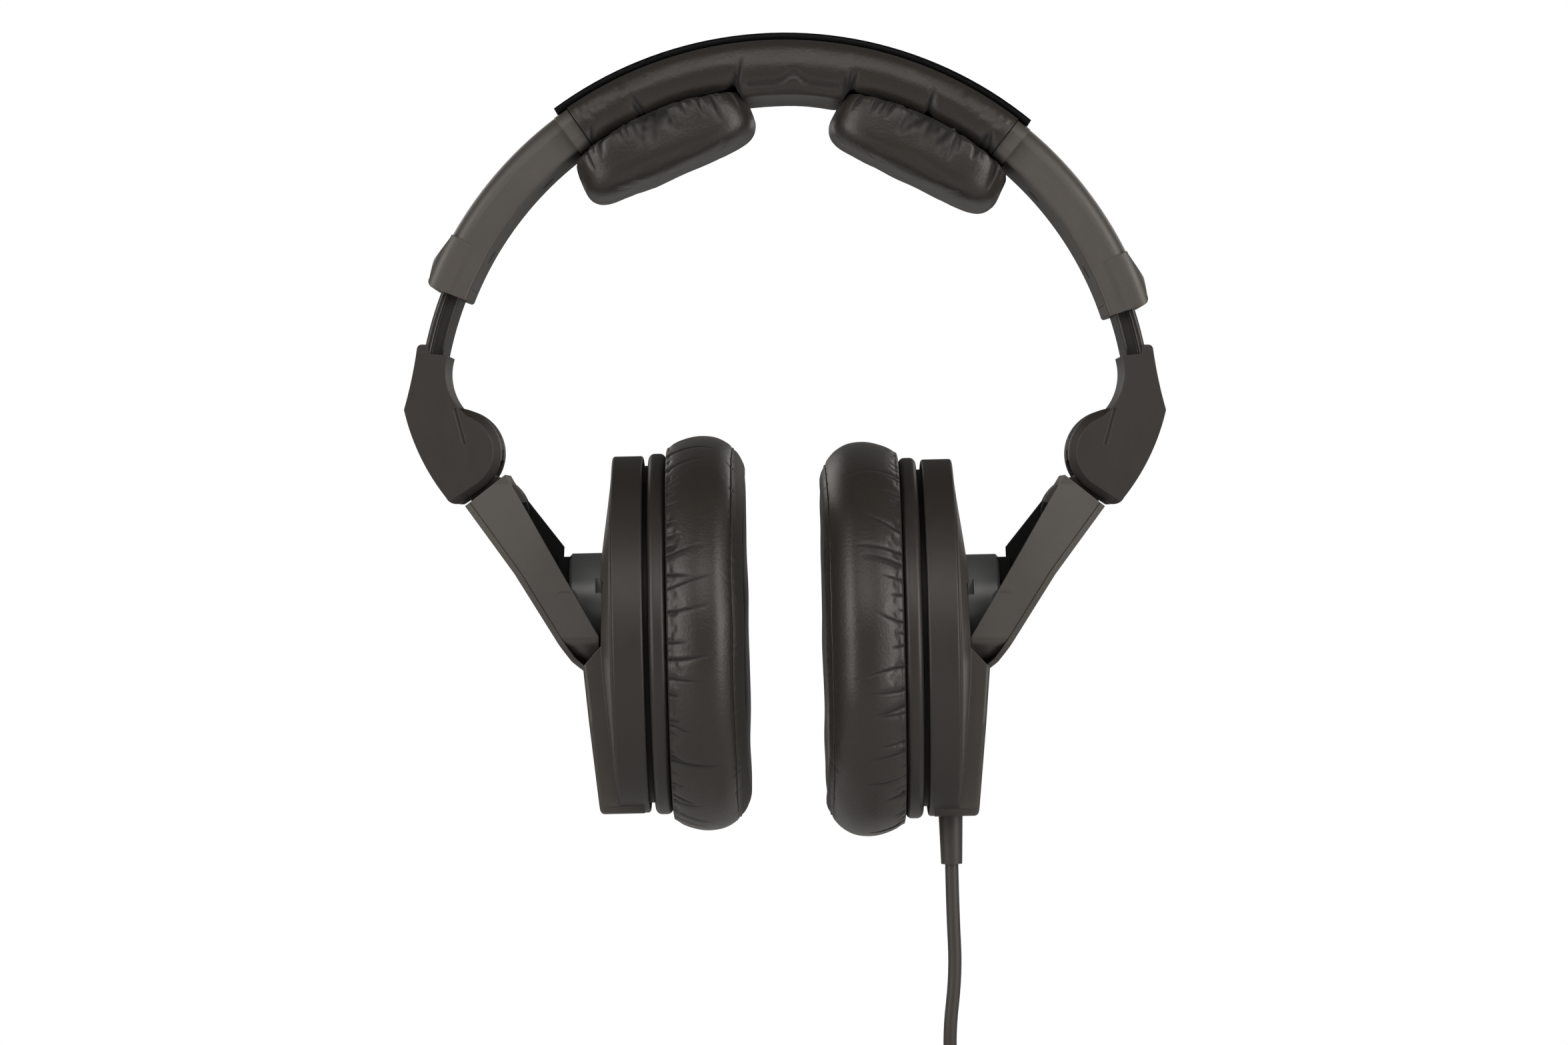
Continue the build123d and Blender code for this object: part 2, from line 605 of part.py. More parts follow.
def make_ridge():
    """Raised lower panel of the shell, hollowed round the arm's round end."""
    side_plane = Plane(origin=(36.5, 0, 0), x_dir=(0, 1, 0), z_dir=(1, 0, 0))
    outline = Polyline(
        (-19.5, TILT_Z - 4),
        (19.5, TILT_Z - 4),
        (19.5, -157),
        (12.5, -180.5),
        (-12.5, -180.5),
        (-19.5, -157),
        close=True,
    )
    ridge = extrude(side_plane * make_face(outline), amount=20)
    ridge = fillet(ridge.edges().filter_by(Axis.X).sort_by(Axis.Z)[:4], 4.0)
    face = polygon_slab([(30, -120), (50.9, -143.0), (47.5, -181.5), (30, -185)], 30)
    ridge = ridge & face
    rim = [e for e in ridge.edges() if e.center().X > 47.2 and abs(e.tangent_at(0.5).X) < 0.9]
    ridge = fillet(rim, 1.2)
    return ridge - disc(RECESS_R, 30, 60, z=TILT_Z)


def make_cup_shell(relief):
    """Outer shell of the cup: oval band, dome, raised lower panel."""
    band = oval(BAND_HALF, *BAND_X)
    band = fillet(edges_at_x(band, BAND_X[0]) + edges_at_x(band, BAND_X[1]), 0.7)
    dome = make_dome()
    recess = disc(RECESS_R, RECESS_X, 60, z=TILT_Z) & box((30, 70), (-40, 40), (-200, RECESS_TOP_Z))
    recess -= disc(POST_R + 0.8, 30, 60, z=TILT_Z)
    platform = disc(POST_R + 0.8, POST_IN_X - 0.3, 60, z=TILT_Z)
    shell = band + (dome - recess) + make_ridge()
    shell -= platform
    shell -= oval(BAND_HALF, BAND_X[0] - 1, CAVITY_X, grow=-SHELL_WALL)
    shell -= disc(STEM_R + FIT, 30, 60, z=TILT_Z)
    if relief:
        shell -= Pos(CORD_X, 0, RELIEF_TOP_Z) * Cylinder(2.35, 14)
    return shell


def make_baffle():
    """Plate that closes the shell behind the cushion ring and carries the driver."""
    neck = oval(BAND_HALF, RING_X[1], 36.6, grow=-SHELL_WALL - 0.3)
    hollow = oval(BAND_HALF, 35.6, 40, grow=-SHELL_WALL - 2.6)
    return neck - hollow - disc(18.2, 30, 40)


def make_cushion_ring():
    """Oval ring that the ear cushion's skirt is stretched over."""
    ring = oval(RING_HALF, *RING_X)
    ring = fillet(edges_at_x(ring, RING_X[0]) + edges_at_x(ring, RING_X[1]), 1.6)
    return ring - oval((25.5, 32.5), 20, 40)


def make_driver_grille():
    """Oval grille in front of the driver, with rings of sound holes."""
    grille = oval((25.3, 32.3), 32.4, 33.4)
    holes = [disc(1.3, 30, 36)]
    for ring, count in ((6, 6), (12, 12), (18, 18)):
        for n in range(count):
            turn = 2 * pi * n / count
            holes.append(disc(1.3, 30, 36, z=CUP_Z + ring * 1.2 * cos(turn), y=ring * sin(turn)))
    return grille - holes


def make_driver_frame():
    """Basket of the driver."""
    frame = disc(DRIVER_R, 35.7, 37.9) - disc(10.6, 30, 36.9)
    return frame - disc(16.0, 30, 36.4)


def make_driver_magnet():
    """Magnet on the back of the driver."""
    return chamfer(edges_at_x(disc(10.5, 37.9, 40.2), 40.2), 0.5)


def make_diaphragm():
    """Driver diaphragm: flat rim, raised middle."""
    rim = disc(17.4, 35.1, 35.6)
    middle = disc(9.0, 34.6, 35.6) - disc(8.4, 35.1, 36)
    return rim - disc(8.4, 35, 36) + middle


def make_ear_cushion():
    """Oval ear cushion with its opening for the ear."""
    cushion = oval(CUSHION_HALF, *CUSHION_X)
    cushion = fillet(edges_at_x(cushion, CUSHION_X[0]) + edges_at_x(cushion, CUSHION_X[1]), 8.0)
    return cushion - oval(EAR_HALF, 0, 40)


# ---------------------------------------------------------------- cord, on the left cup

def make_strain_relief():
    """Tapered sleeve under the left cup, with a flange inside the shell."""
    cone = Pos(CORD_X, 0, RELIEF_TOP_Z - RELIEF_LENGTH / 2) * Rot(180, 0, 0)
    relief = cone * Cone(3.05, 2.7, RELIEF_LENGTH)
    relief += Pos(CORD_X, 0, RELIEF_TOP_Z + 2.2) * Cylinder(2.3, 4.6)
    return relief


def leaned_point(x, z):
    """Where a point (X, Z) of the left cup goes when the cup leans."""
    turn = radians(CUP_LEAN)
    dx, dz = x - TILT_X, z - TILT_Z
    return TILT_X + dx * cos(turn) + dz * sin(turn), TILT_Z - dx * sin(turn) + dz * cos(turn)


COIL_CENTRE = (32.6, -277.6)
COIL_HALF = COIL_ROWS * CORD_D / 2
CORD_ROUTE = [
    leaned_point(CORD_X, RELIEF_TOP_Z - RELIEF_LENGTH),
    (42.6, -206.0),
    (43.4, -221.0),
    (41.6, -237.0),
    (42.6, -249.0),
    (47.0, -257.6),
]


def cord_path(points):
    """Straight runs joined by tangent arcs, as large as the runs allow; also their radii."""
    spots = [Vector(x, 0, z) for x, z in points]
    radii = []
    for before, here, after in zip(spots, spots[1:], spots[2:]):
        turn = radians((here - before).get_angle(after - here))
        short = min((here - before).length, (after - here).length)
        radii.append(0.45 * short / tan(turn / 2))
    return FilletPolyline(*spots, radius=radii), radii


def tube(path, diameter):
    """A round tube along a path."""
    start = Plane(origin=path @ 0, z_dir=path % 0)
    return sweep(start * Circle(diameter / 2), path=path)


def make_cord():
    """The cord from the strain relief down to the coil."""
    path, radii = cord_path(CORD_ROUTE)
    cord = tube(path, CORD_D)
    section = pi * CORD_D**2 / 4
    print("cord radii", [round(r, 1) for r in radii], "length", round(path.length, 1))
    print("cord volume over section times length", round(cord.volume / (section * path.length), 4))
    return cord


def make_coil():
    """Outer shape of the wound cord, a flat ring that hangs in the XZ plane."""
    x, z = COIL_CENTRE
    plane = Plane(origin=(x, 0, z), x_dir=(0, 1, 0), z_dir=(1, 0, 0))
    section = plane * Pos(0, COIL_R) * RectangleRounded(2 * COIL_HALF, COIL_LAYERS * CORD_D, 1.6)
    return revolve(section, axis=Axis((x, 0, z), (0, 1, 0)))


def make_coil_tie():
    """Strap round the coil, at its top beside the strand that it hangs from."""
    x, z = COIL_CENTRE
    place = Pos(x, 0, z) * Rot(0, 31, 0) * Pos(0, 0, COIL_R)
    outer = place * Box(8.0, 2 * COIL_HALF + 2.4, COIL_LAYERS * CORD_D + 2.4)
    return fillet(outer.edges().filter_by(lambda e: e.length < 8.5), 0.9) - make_coil()


TAIL_X = COIL_CENTRE[0] + COIL_R + CORD_D
TAIL_TOP_X = TAIL_X - 1.0
TAIL_TOP_Z = COIL_CENTRE[1] - 6.0
TAIL_END_Z = COIL_CENTRE[1] - 24.0
GRIP_LENGTH = 26.0


def make_cord_tail():
    """Free end of the cord, hanging from the coil to the plug and leaning a little."""
    tail = tube(Line((TAIL_TOP_X, 0, TAIL_TOP_Z), (TAIL_X, 0, TAIL_END_Z)), CORD_D)
    return tail - make_plug_grip()


def make_plug_grip():
    """Moulded grip of the plug, with its bend relief."""
    profile = make_face(
        Polyline(
            (TAIL_X, TAIL_END_Z),
            (TAIL_X + 2.5, TAIL_END_Z),
            (TAIL_X + 2.9, TAIL_END_Z - 8),
            (TAIL_X + 4.2, TAIL_END_Z - 10),
            (TAIL_X + 4.2, TAIL_END_Z - GRIP_LENGTH + 1),
            (TAIL_X + 3.4, TAIL_END_Z - GRIP_LENGTH),
            (TAIL_X, TAIL_END_Z - GRIP_LENGTH),
            close=True,
        )
    )
    return revolve(Plane.XZ * profile, axis=Axis((TAIL_X, 0, 0), (0, 0, 1)))


def make_plug_contacts():
    """3.5 mm plug: shank, two insulator rings and the waisted tip."""
    top = TAIL_END_Z - GRIP_LENGTH
    tip = top - PLUG_LENGTH
    profile = make_face(
        Polyline(
            (TAIL_X, top),
            (TAIL_X + PLUG_R, top),
            (TAIL_X + PLUG_R, tip + 3.2),
            (TAIL_X + 1.15, tip + 2.6),
            (TAIL_X + 1.5, tip + 1.6),
            (TAIL_X + 0.5, tip),
            (TAIL_X, tip),
            close=True,
        )
    )
    plug = revolve(Plane.XZ * profile, axis=Axis((TAIL_X, 0, 0), (0, 0, 1)))
    for z in (tip + 5.0, tip + 8.0):
        groove = Cylinder(PLUG_R + 1, 0.5) - Cylinder(PLUG_R - INSULATOR_DEPTH, 0.5)
        plug -= Pos(TAIL_X, 0, z) * groove
    return plug


# ---------------------------------------------------------------- assembly

def headband_parts():
    """The headband's nodes, with the headband rolled round its arch."""
    arm_shell, arm_cover = make_arm_shell(), make_arm_cover()
    screws, spring, pad = make_cover_screws(), make_detent_spring(), make_crown_pad()
    parts = {
        "top_trim": make_trim(),
        "headband_sleeve": make_sleeve(),
        "spring_band": make_spring_band(),
        "crossover_lead": make_crossover_lead(),
        "arm_cover_screws": screws + [mirror(s, about=Plane.YZ) for s in screws],
    }
    for side, flip in (("left", False), ("right", True)):
        for name, shape in (
            ("crown_pad", pad),
            ("arm_shell", arm_shell),
            ("arm_cover", arm_cover),
            ("detent_spring", spring),
        ):
            parts[f"{side}_{name}"] = mirror(shape, about=Plane.YZ) if flip else shape
    return {name: roll(shape) for name, shape in parts.items()}


def roll(shape):
    """Turn a headband part, or each of a group, round the arch by the band's roll."""
    if isinstance(shape, list):
        return [s.rotate(ARCH_AXIS, BAND_ROLL) for s in shape]
    return shape.rotate(ARCH_AXIS, BAND_ROLL)


def side_parts():
    """The nodes from the slide rail to the arm, drawn for the left side."""
    front, back = split_shoulder(make_shoulder())
    return {
        "slide_rail": make_rail(),
        "shoulder_front": front,
        "shoulder_back": back,
        "shoulder_screws": make_shoulder_screws(),
        "fold_detent": make_detent_sector(),
        "fold_pin": bar(HINGE_PIN_R, -11.4, 11.4, HINGE_X, HINGE_Z),
        "yoke_arm": make_yoke_arm(),
        "yoke_cover": make_yoke_cover(),
        "tilt_pin": bar(TILT_PIN_R, -TILT_PIN_HALF, TILT_PIN_HALF, TILT_X, TILT_Z),
    }


def cup_parts():
    """The nodes that lean with the cup, drawn for the left side."""
    return {
        "swivel_post": make_swivel_post(),
        "post_retainer": make_post_retainer(),
        "cup_shell": make_cup_shell(relief=False),
        "baffle": make_baffle(),
        "cushion_ring": make_cushion_ring(),
        "driver_grille": make_driver_grille(),
        "driver_frame": make_driver_frame(),
        "driver_magnet": make_driver_magnet(),
        "driver_diaphragm": make_diaphragm(),
        "ear_cushion": make_ear_cushion(),
    }


def cord_parts():
    """The cord's nodes, which hang from the left cup."""
    return {
        "strain_relief": make_strain_relief(),
        "cord": make_cord(),
        "cord_coil": make_coil(),
        "coil_tie": make_coil_tie(),
        "cord_tail": make_cord_tail(),
        "plug_grip": make_plug_grip(),
        "plug_contacts": make_plug_contacts(),
    }


def leaned(shape, sign):
    """Lean a cup part about the tilt pin of its side; sign is +1 on the left, -1 on the right."""
    return shape.rotate(Axis((sign * TILT_X, 0, TILT_Z), (0, 1, 0)), CUP_LEAN)


def flipped(shape):
    """Mirror a part, or each of a group, to the right side."""
    if isinstance(shape, list):
        return [mirror(s, about=Plane.YZ) for s in shape]
    return mirror(shape, about=Plane.YZ)


def save(name, shape):
    """Write one node's STEP file."""
    if isinstance(shape, list):
        shape = Compound(children=[s.solid() if len(s.solids()) == 1 else s for s in shape])
    print(f"{name:24s} solids {len(shape.solids()):2d}  volume {shape.volume:9.1f}")
    export_step(shape, f"parts/{name}.step")


def main():
    os.makedirs("parts", exist_ok=True)
    parts = headband_parts()
    for name, shape in side_parts().items():
        parts[f"left_{name}"] = shape
        parts[f"right_{name}"] = flipped(shape)
    for name, shape in cup_parts().items():
        left = make_cup_shell(relief=True) if name == "cup_shell" else shape
        parts[f"left_{name}"] = leaned(left, 1)
        parts[f"right_{name}"] = leaned(flipped(shape), -1)
    for name, shape in cord_parts().items():
        parts[name] = leaned(shape, 1) if name == "strain_relief" else shape
    for name, shape in parts.items():
        save(name, shape)
    print(len(parts), "nodes")


main()
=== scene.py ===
import json
from math import atan2, cos, pi, radians, sin, sqrt

import bmesh
import bpy
import numpy as np
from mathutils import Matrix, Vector


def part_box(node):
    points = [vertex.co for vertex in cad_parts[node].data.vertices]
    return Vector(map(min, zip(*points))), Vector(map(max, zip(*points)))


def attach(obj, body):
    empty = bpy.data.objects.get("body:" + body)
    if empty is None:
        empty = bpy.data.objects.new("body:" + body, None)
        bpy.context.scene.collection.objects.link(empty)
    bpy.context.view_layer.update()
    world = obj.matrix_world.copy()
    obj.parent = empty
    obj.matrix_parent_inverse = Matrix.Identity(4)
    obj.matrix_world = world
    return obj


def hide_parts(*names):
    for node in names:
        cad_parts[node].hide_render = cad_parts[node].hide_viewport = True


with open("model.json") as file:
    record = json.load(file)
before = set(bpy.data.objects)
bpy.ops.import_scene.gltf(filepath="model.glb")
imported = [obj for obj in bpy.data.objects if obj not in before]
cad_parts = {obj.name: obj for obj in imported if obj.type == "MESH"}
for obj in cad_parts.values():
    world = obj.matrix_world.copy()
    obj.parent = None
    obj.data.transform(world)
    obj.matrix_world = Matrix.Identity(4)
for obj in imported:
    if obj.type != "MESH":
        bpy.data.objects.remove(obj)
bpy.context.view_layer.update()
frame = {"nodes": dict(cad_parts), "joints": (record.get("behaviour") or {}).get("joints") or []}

# Looks for the folding headphones. Shapes are worked out in millimetres, in the frame's axes,
# and turned into metres when a mesh or curve is made. "left" is +X, "right" is -X.
MM = 0.001
SIDES = {"left": 1, "right": -1}
joints = {joint["name"]: joint for joint in frame["joints"]}

# ---- places read from the frame ----
ARCH_Z = joints["left_size_slide"]["pos_m"][2] / MM
TILT = {side: [value / MM for value in joints[f"{side}_tilt"]["pos_m"]] for side in SIDES}
SWIVEL_AXIS = joints["left_swivel"]["axis"]
CUP_LEAN = -atan2(SWIVEL_AXIS[2], SWIVEL_AXIS[0])

# ---- soft parts ----
CUP_Z = -135.6              # middle of the cups before they lean
CUSHION_MID = (32.0, 40.0)  # oval through the middle of the ear cushion: half depth and half height
CUSHION_THICK = (11.0, 10.0)
SEAM_X = 29.0               # where the cushion's skirt meets its ring
RING_X = 29.3               # back of the cushion, against its ring
WELT_X = {"left": 10.6, "right": 12.3}  # welt round the panel that faces the head, at each side
WELT_D = 0.45
STITCH_X = 10.9             # line of stitches that the cloth is held by, and half its width
STITCH_HALF = 0.7
BAND_ROLL = radians(1.4)
PAD_ANGLE = radians(24.7)
PAD_HALF = (23.1, 19.8)     # half length along the arch, half width
PAD_SECTION = [21, 14]      # the rough size by which its section's points are spread
PAD_SQUARENESS = 0.46       # its outline is an oval at 1 and a rectangle near 0
PAD_CHORD_R = 69.3
PAD_TOP_R = 84.4
PAD_EDGE = 0.66             # where along its section the creases start, from 0 below to 1 on top
SLEEVE_ANGLE = radians(36.2)
SLEEVE_R = (84.9, 95.9)
SLEEVE_HALF = 18.4
SLEEVE_CORNER = 4.0
SLEEVE_WIDENING = 0.25      # how much further out its sides are half way down
LUMP_END = 10.3             # degrees from the crown where its thicker middle ends, and over how many
LUMP_FADE = 1.6
TUCK_R = 84.6               # radius of the tuck along the thicker middle, and its lift at the crown
TUCK_LIFT = 2.6
CROWN_R = 81.7

# Cloth simulation: pressure, how much larger than the form the cloth is cut, and the most that a
# point may move. The caps are small, so the drawn forms give nearly all of the shape.
CUSHION_PUFF = (3.0, 0.02, 0.14)
PAD_PUFF = (3.0, 0.03, 0.22)
SLEEVE_PUFF = (1.2, 0.02, 0.1)
SIM_SCALE = 5.0             # cloth is simulated larger, in the range the solver is made for
SIM_FRAMES = 20

# Creases: how many, the shortest and the longest, depth and width.
CUSHION_CREASES = [(56, (4.5, 16.0), 0.6, 0.34), (45, (1.5, 4.5), 0.5, 0.32)]
WELT_TUCKS = [(40, (1.0, 3.0), 0.2, 0.4)]
PAD_CREASES = [(130, (3.0, 8.0), 0.75, 0.36), (34, (6.0, 11.0), 1.1, 0.45)]
PAD_FAN_STEPS = (-2.2, 0.0, 1.8)  # deep creases that spread from the middle of each long side
# Puckers under the sleeve: distance from the crown along the arch, how many, and their spread.
SLEEVE_PUCKERS = [
    (-15.4, 3, 1.2),
    (15.4, 3, 1.2),
    (-38, 2, 2.0),
    (38, 2, 2.0),
    (-54, 2, 3),
    (54, 2, 3),
]
SEEDS = {"left": 11, "right": 12}
PAD_SEED_STEP = 10
SLEEVE_SEED = 31

# ---- cups, arms and posts: where their second material starts; on arms and posts it is black as painted shade ----
BAND_OUT_X = 43.0           # outer face of the cup's oval band
HINGE_ZONE = 19             # an arm keeps its own colour this near the fold pin
HOLLOW_DROP = 8             # the arm's hollow widens from this far below the fold pin
HOLLOW_RUN = 39.6           # over this height
HOLLOW_HALF = 10.6          # its half width at the top, and how much that grows
HOLLOW_GROWTH = 4.2
HOLLOW_MARGIN = 0.15
TOE_MIDDLE_Z = -143.6       # the arm's round lower end, seen from the side
TOE_R = 25.15
TOE_HALF = 17
TOE_THICK = 1.3
LUG_START_X = 54.6          # just past the end of the post's drum: its lugs are beyond this
LUG_RISE = 4                # and this far above the tilt pin

# ---- cord ----
CORD_D = 3.4
RELIEF_EXIT_X = 40.85       # before the cup leans
RELIEF_EXIT_Z = -193.1
COIL_CENTRE = (32.6, -277.6)
COIL_ROWS = 4
COIL_OUTER_R = 22.9
COIL_LAYERS = 3
COIL_START = 62             # degrees from the top where the coil is entered and where it is left
COIL_END = 90
POINTS_PER_TURN = 16
CORD_DROP = [               # from the strain relief down to the coil
    (42.6, 0.0, -206.0),
    (43.4, 0.0, -221.0),
    (41.6, 0.3, -237.0),
    (42.6, 2.4, -249.0),
    (47.6, 4.9, -257.4),
]
PLUG_APPROACH = [(-4.6, 16), (-2.2, 9), (0, 3.5), (0, -0.5)]  # Y, and height above the plug's grip

# ---- studio, in metres ----
FLOOR_Z = -0.350
FLOOR_RADIUS = 0.85
CAMERA_DISTANCE = 1.2
PICTURE_WIDTH = 0.3980      # what the camera takes in at the headphones' middle
PICTURE_MIDDLE = (-0.00025, -0.1068)
SENSOR = 36.0
SURROUNDINGS_GLOW = 0.10    # the white surroundings as a source of light
WARM = (1.0, 0.962, 0.925)
LIGHT_TARGET = (0, 0, -0.10)
LIGHTS = [                  # name, place, size and power
    ("key_left", (-1.15, -0.80, 0.15), (0.7, 1.3), 11.5),
    ("key_right", (1.15, -0.80, 0.15), (0.7, 1.3), 13.5),
    ("front", (0, -1.5, 0.7), (1.2, 0.7), 7),
    ("back_left", (-0.9, 1.1, 0.3), (0.8, 1.0), 4),
    ("back_right", (0.9, 1.1, 0.3), (0.8, 1.0), 4),
]


# ---------------------------------------------------------------- shapes as grids of points

def closed_curve(points, count):
    """Evenly spaced points on a smooth closed curve through the given ones."""
    points = np.array(points, float)
    fine = refine(points[:, None, :], 60 * len(points), 1, (True, False))[:, 0]
    steps = np.linalg.norm(np.roll(fine, -1, 0) - fine, axis=1)
    along = np.concatenate([[0], np.cumsum(steps)])
    wanted = np.linspace(0, along[-1], count, endpoint=False)
    loop = np.vstack([fine, fine[:1]])
    return np.column_stack([np.interp(wanted, along, loop[:, k]) for k in range(points.shape[1])])


def refine_axis(grid, count, closed):
    """Catmull-Rom interpolation of a grid's first axis to count samples."""
    size = len(grid)
    if count == size:
        return grid
    where = np.arange(count) * size / count if closed else np.linspace(0, size - 1, count)
    cell = np.floor(where).astype(int)
    if not closed:
        cell = np.minimum(cell, size - 2)
    part = (where - cell).reshape((-1,) + (1,) * (grid.ndim - 1))

    def at(shift):
        index = cell + shift
        return grid[index % size] if closed else grid[np.clip(index, 0, size - 1)]

    before, here, after, beyond = at(-1), at(0), at(1), at(2)
    return here + 0.5 * part * (
        after - before
        + part * (2 * before - 5 * here + 4 * after - beyond
                  + part * (3 * (here - after) + beyond - before))
    )


def refine(grid, columns, rows, closed):
    """The same surface with more columns and rows."""
    grid = refine_axis(grid, columns, closed[0])
    return np.swapaxes(refine_axis(np.swapaxes(grid, 0, 1), rows, closed[1]), 0, 1)


def differences(grid, axis, closed):
    """Central differences of a grid along an axis."""
    if closed:
        return np.roll(grid, -1, axis) - np.roll(grid, 1, axis)
    return np.gradient(grid, axis=axis) * 2


def normals_of(grid, closed):
    """Unit normals of a grid."""
    normal = np.cross(differences(grid, 0, closed[0]), differences(grid, 1, closed[1]))
    size = np.linalg.norm(normal, axis=2, keepdims=True)
    return normal / np.maximum(size, 1e-9)


def outward_normals(grid, closed, middle):
    """Unit normals turned away from a middle, and whether the grid's faces need flipping for it."""
    normal = normals_of(grid, closed)
    flipped = np.sum(normal * (grid - middle), axis=2).mean() <= 0
    return (-normal if flipped else normal), flipped


def lengths_along(grid, axis, closed):
    """Distance along an axis of the grid, from its first row or column, and the whole length."""
    step = np.linalg.norm(np.diff(grid, axis=axis), axis=2)
    pad = [(0, 0), (0, 0)]
    pad[axis] = (1, 0)
    along = np.pad(np.cumsum(step, axis=axis), pad)
    last = np.linalg.norm(np.take(grid, 0, axis) - np.take(grid, -1, axis), axis=1)
    whole = np.take(along, -1, axis) + (last if closed else 0)
    return along, whole


def mesh_from_grid(name, grid, closed, flip=False, caps=False, painted_shade=None):
    """A smooth mesh object from a grid of points in millimetres.

    Its fold attribute holds the painted shade of each spot, 0 to 1: in creases, and on a cushion's
    panel towards the head."""
    columns, rows = grid.shape[:2]
    wide = columns if closed[0] else columns - 1
    high = rows if closed[1] else rows - 1
    faces = []
    for i in range(wide):
        for j in range(high):
            a, b = i * rows + j, ((i + 1) % columns) * rows + j
            c, d = ((i + 1) % columns) * rows + (j + 1) % rows, i * rows + (j + 1) % rows
            faces.append((a, d, c, b) if flip else (a, b, c, d))
    if caps:
        first = list(range(rows))
        last = [(columns - 1) * rows + j for j in first]
        faces.append(first[::-1] if flip else first)
        faces.append(last if flip else last[::-1])
    mesh = bpy.data.meshes.new(name)
    mesh.from_pydata([tuple(p) for p in grid.reshape(-1, 3) * MM], [], faces)
    mesh.update()
    mesh.shade_smooth()
    if painted_shade is not None:
        # painted shade in creases and on a cushion's head panel, kept as the fold attribute
        marks = mesh.attributes.new("fold", "FLOAT", "POINT")
        marks.data.foreach_set("value", painted_shade.astype(np.float32).ravel())
    piece = bpy.data.objects.new(name, mesh)
    bpy.context.scene.collection.objects.link(piece)
    return piece


def tube(name, points, diameter, kind, bevel_resolution):
    """A round curve through points in millimetres, and its spline."""
    curve = bpy.data.curves.new(name, "CURVE")
    curve.dimensions = "3D"
    curve.bevel_depth = 1.0     # the points' own radius sets the size, as it does in the curve's box
    curve.bevel_resolution = bevel_resolution
    spline = curve.splines.new(kind)
    spline.points.add(len(points) - 1)
    for place, (x, y, z) in zip(spline.points, points):
        place.co = (x * MM, y * MM, z * MM, 1)
        place.radius = diameter / 2 * MM
    piece = bpy.data.objects.new(name, curve)
    bpy.context.scene.collection.objects.link(piece)
    return piece, spline


# ---------------------------------------------------------------- cloth

def puff(grid, closed, pinned, amounts, caps=False):
    """Fills a skin with air by cloth simulation and returns its moved grid.

    pinned is a grid of 0 to 1; amounts are the pressure, the extra cloth and the movement's cap."""
    pressure, extra_cloth, cap = amounts
    skin = mesh_from_grid("skin", grid * SIM_SCALE, closed, caps=caps)
    group = skin.vertex_groups.new(name="pin")
    for index, weight in enumerate(pinned.ravel()):
        group.add([index], float(weight), "REPLACE")
    cloth = skin.modifiers.new("cloth", "CLOTH")
    cloth.settings.quality = 6
    cloth.settings.mass = 0.2
    cloth.settings.tension_stiffness = 12
    cloth.settings.compression_stiffness = 6
    cloth.settings.shear_stiffness = 5
    cloth.settings.bending_stiffness = 0.05
    cloth.settings.use_pressure = True
    cloth.settings.uniform_pressure_force = pressure
    cloth.settings.shrink_min = -extra_cloth
    cloth.settings.vertex_group_mass = "pin"
    cloth.settings.effector_weights.gravity = 0
    cloth.collision_settings.use_collision = False
    cloth.point_cache.frame_start = 1
    cloth.point_cache.frame_end = SIM_FRAMES
    for number in range(1, SIM_FRAMES + 1):
        bpy.context.scene.frame_set(number)
    shaped = skin.evaluated_get(bpy.context.evaluated_depsgraph_get())
    moved = np.array([v.co for v in shaped.data.vertices]).reshape(grid.shape) / MM / SIM_SCALE
    bpy.data.objects.remove(skin)
    bpy.context.scene.frame_set(1)
    step = moved - grid
    size = np.linalg.norm(step, axis=2, keepdims=True)
    return grid + step * np.minimum(1, cap / np.maximum(size, 1e-9))


# ---------------------------------------------------------------- creases

def crease(random, place, length, depth, width, slant=0.08):
    """One crease: where it starts on a seam, its size, and a random slant, bow and softer side."""
    return {
        "place": place,
        "length": length,
        "depth": depth * random.uniform(0.5, 1.0),
        "width": width * random.uniform(0.75, 1.35),
        "slant": random.normal(0, slant),
        "bow": random.normal(0, 0.008),
        "soft_side": random.choice([-1, 1]),
    }


def crease_set(random, whole, count, lengths, depth, width):
    """Creases spread unevenly along a seam of the whole length, most of them short."""
    places = (np.arange(count) + random.uniform(-0.45, 0.45, count)) * whole / count
    shares = random.uniform(0, 1, count) ** 1.8
    creases = []
    for place, share in zip(places, shares):
        length = lengths[0] + share * (lengths[1] - lengths[0])
        creases.append(crease(random, place, length, depth * (0.6 + 0.4 * share), width))
    return creases


def crease_sets(random, whole, kinds):
    """Several kinds of creases along one seam."""
    return [one for kind in kinds for one in crease_set(random, whole, *kind)]


CREASE_REACH = 8            # no crease is felt further from its line than this
STEEP_SIDE = 0.8            # widths of its two sides, and of the lip beside it, as shares of its own
SOFT_SIDE = 2.4
LIP_WIDTH = 1.5
LIP_OFFSET = 1.9
LIP_HEIGHT = 0.16           # as a share of its depth
# width of the painted shade along a crease, as a share of its own
DARK_WIDTH = 1.1


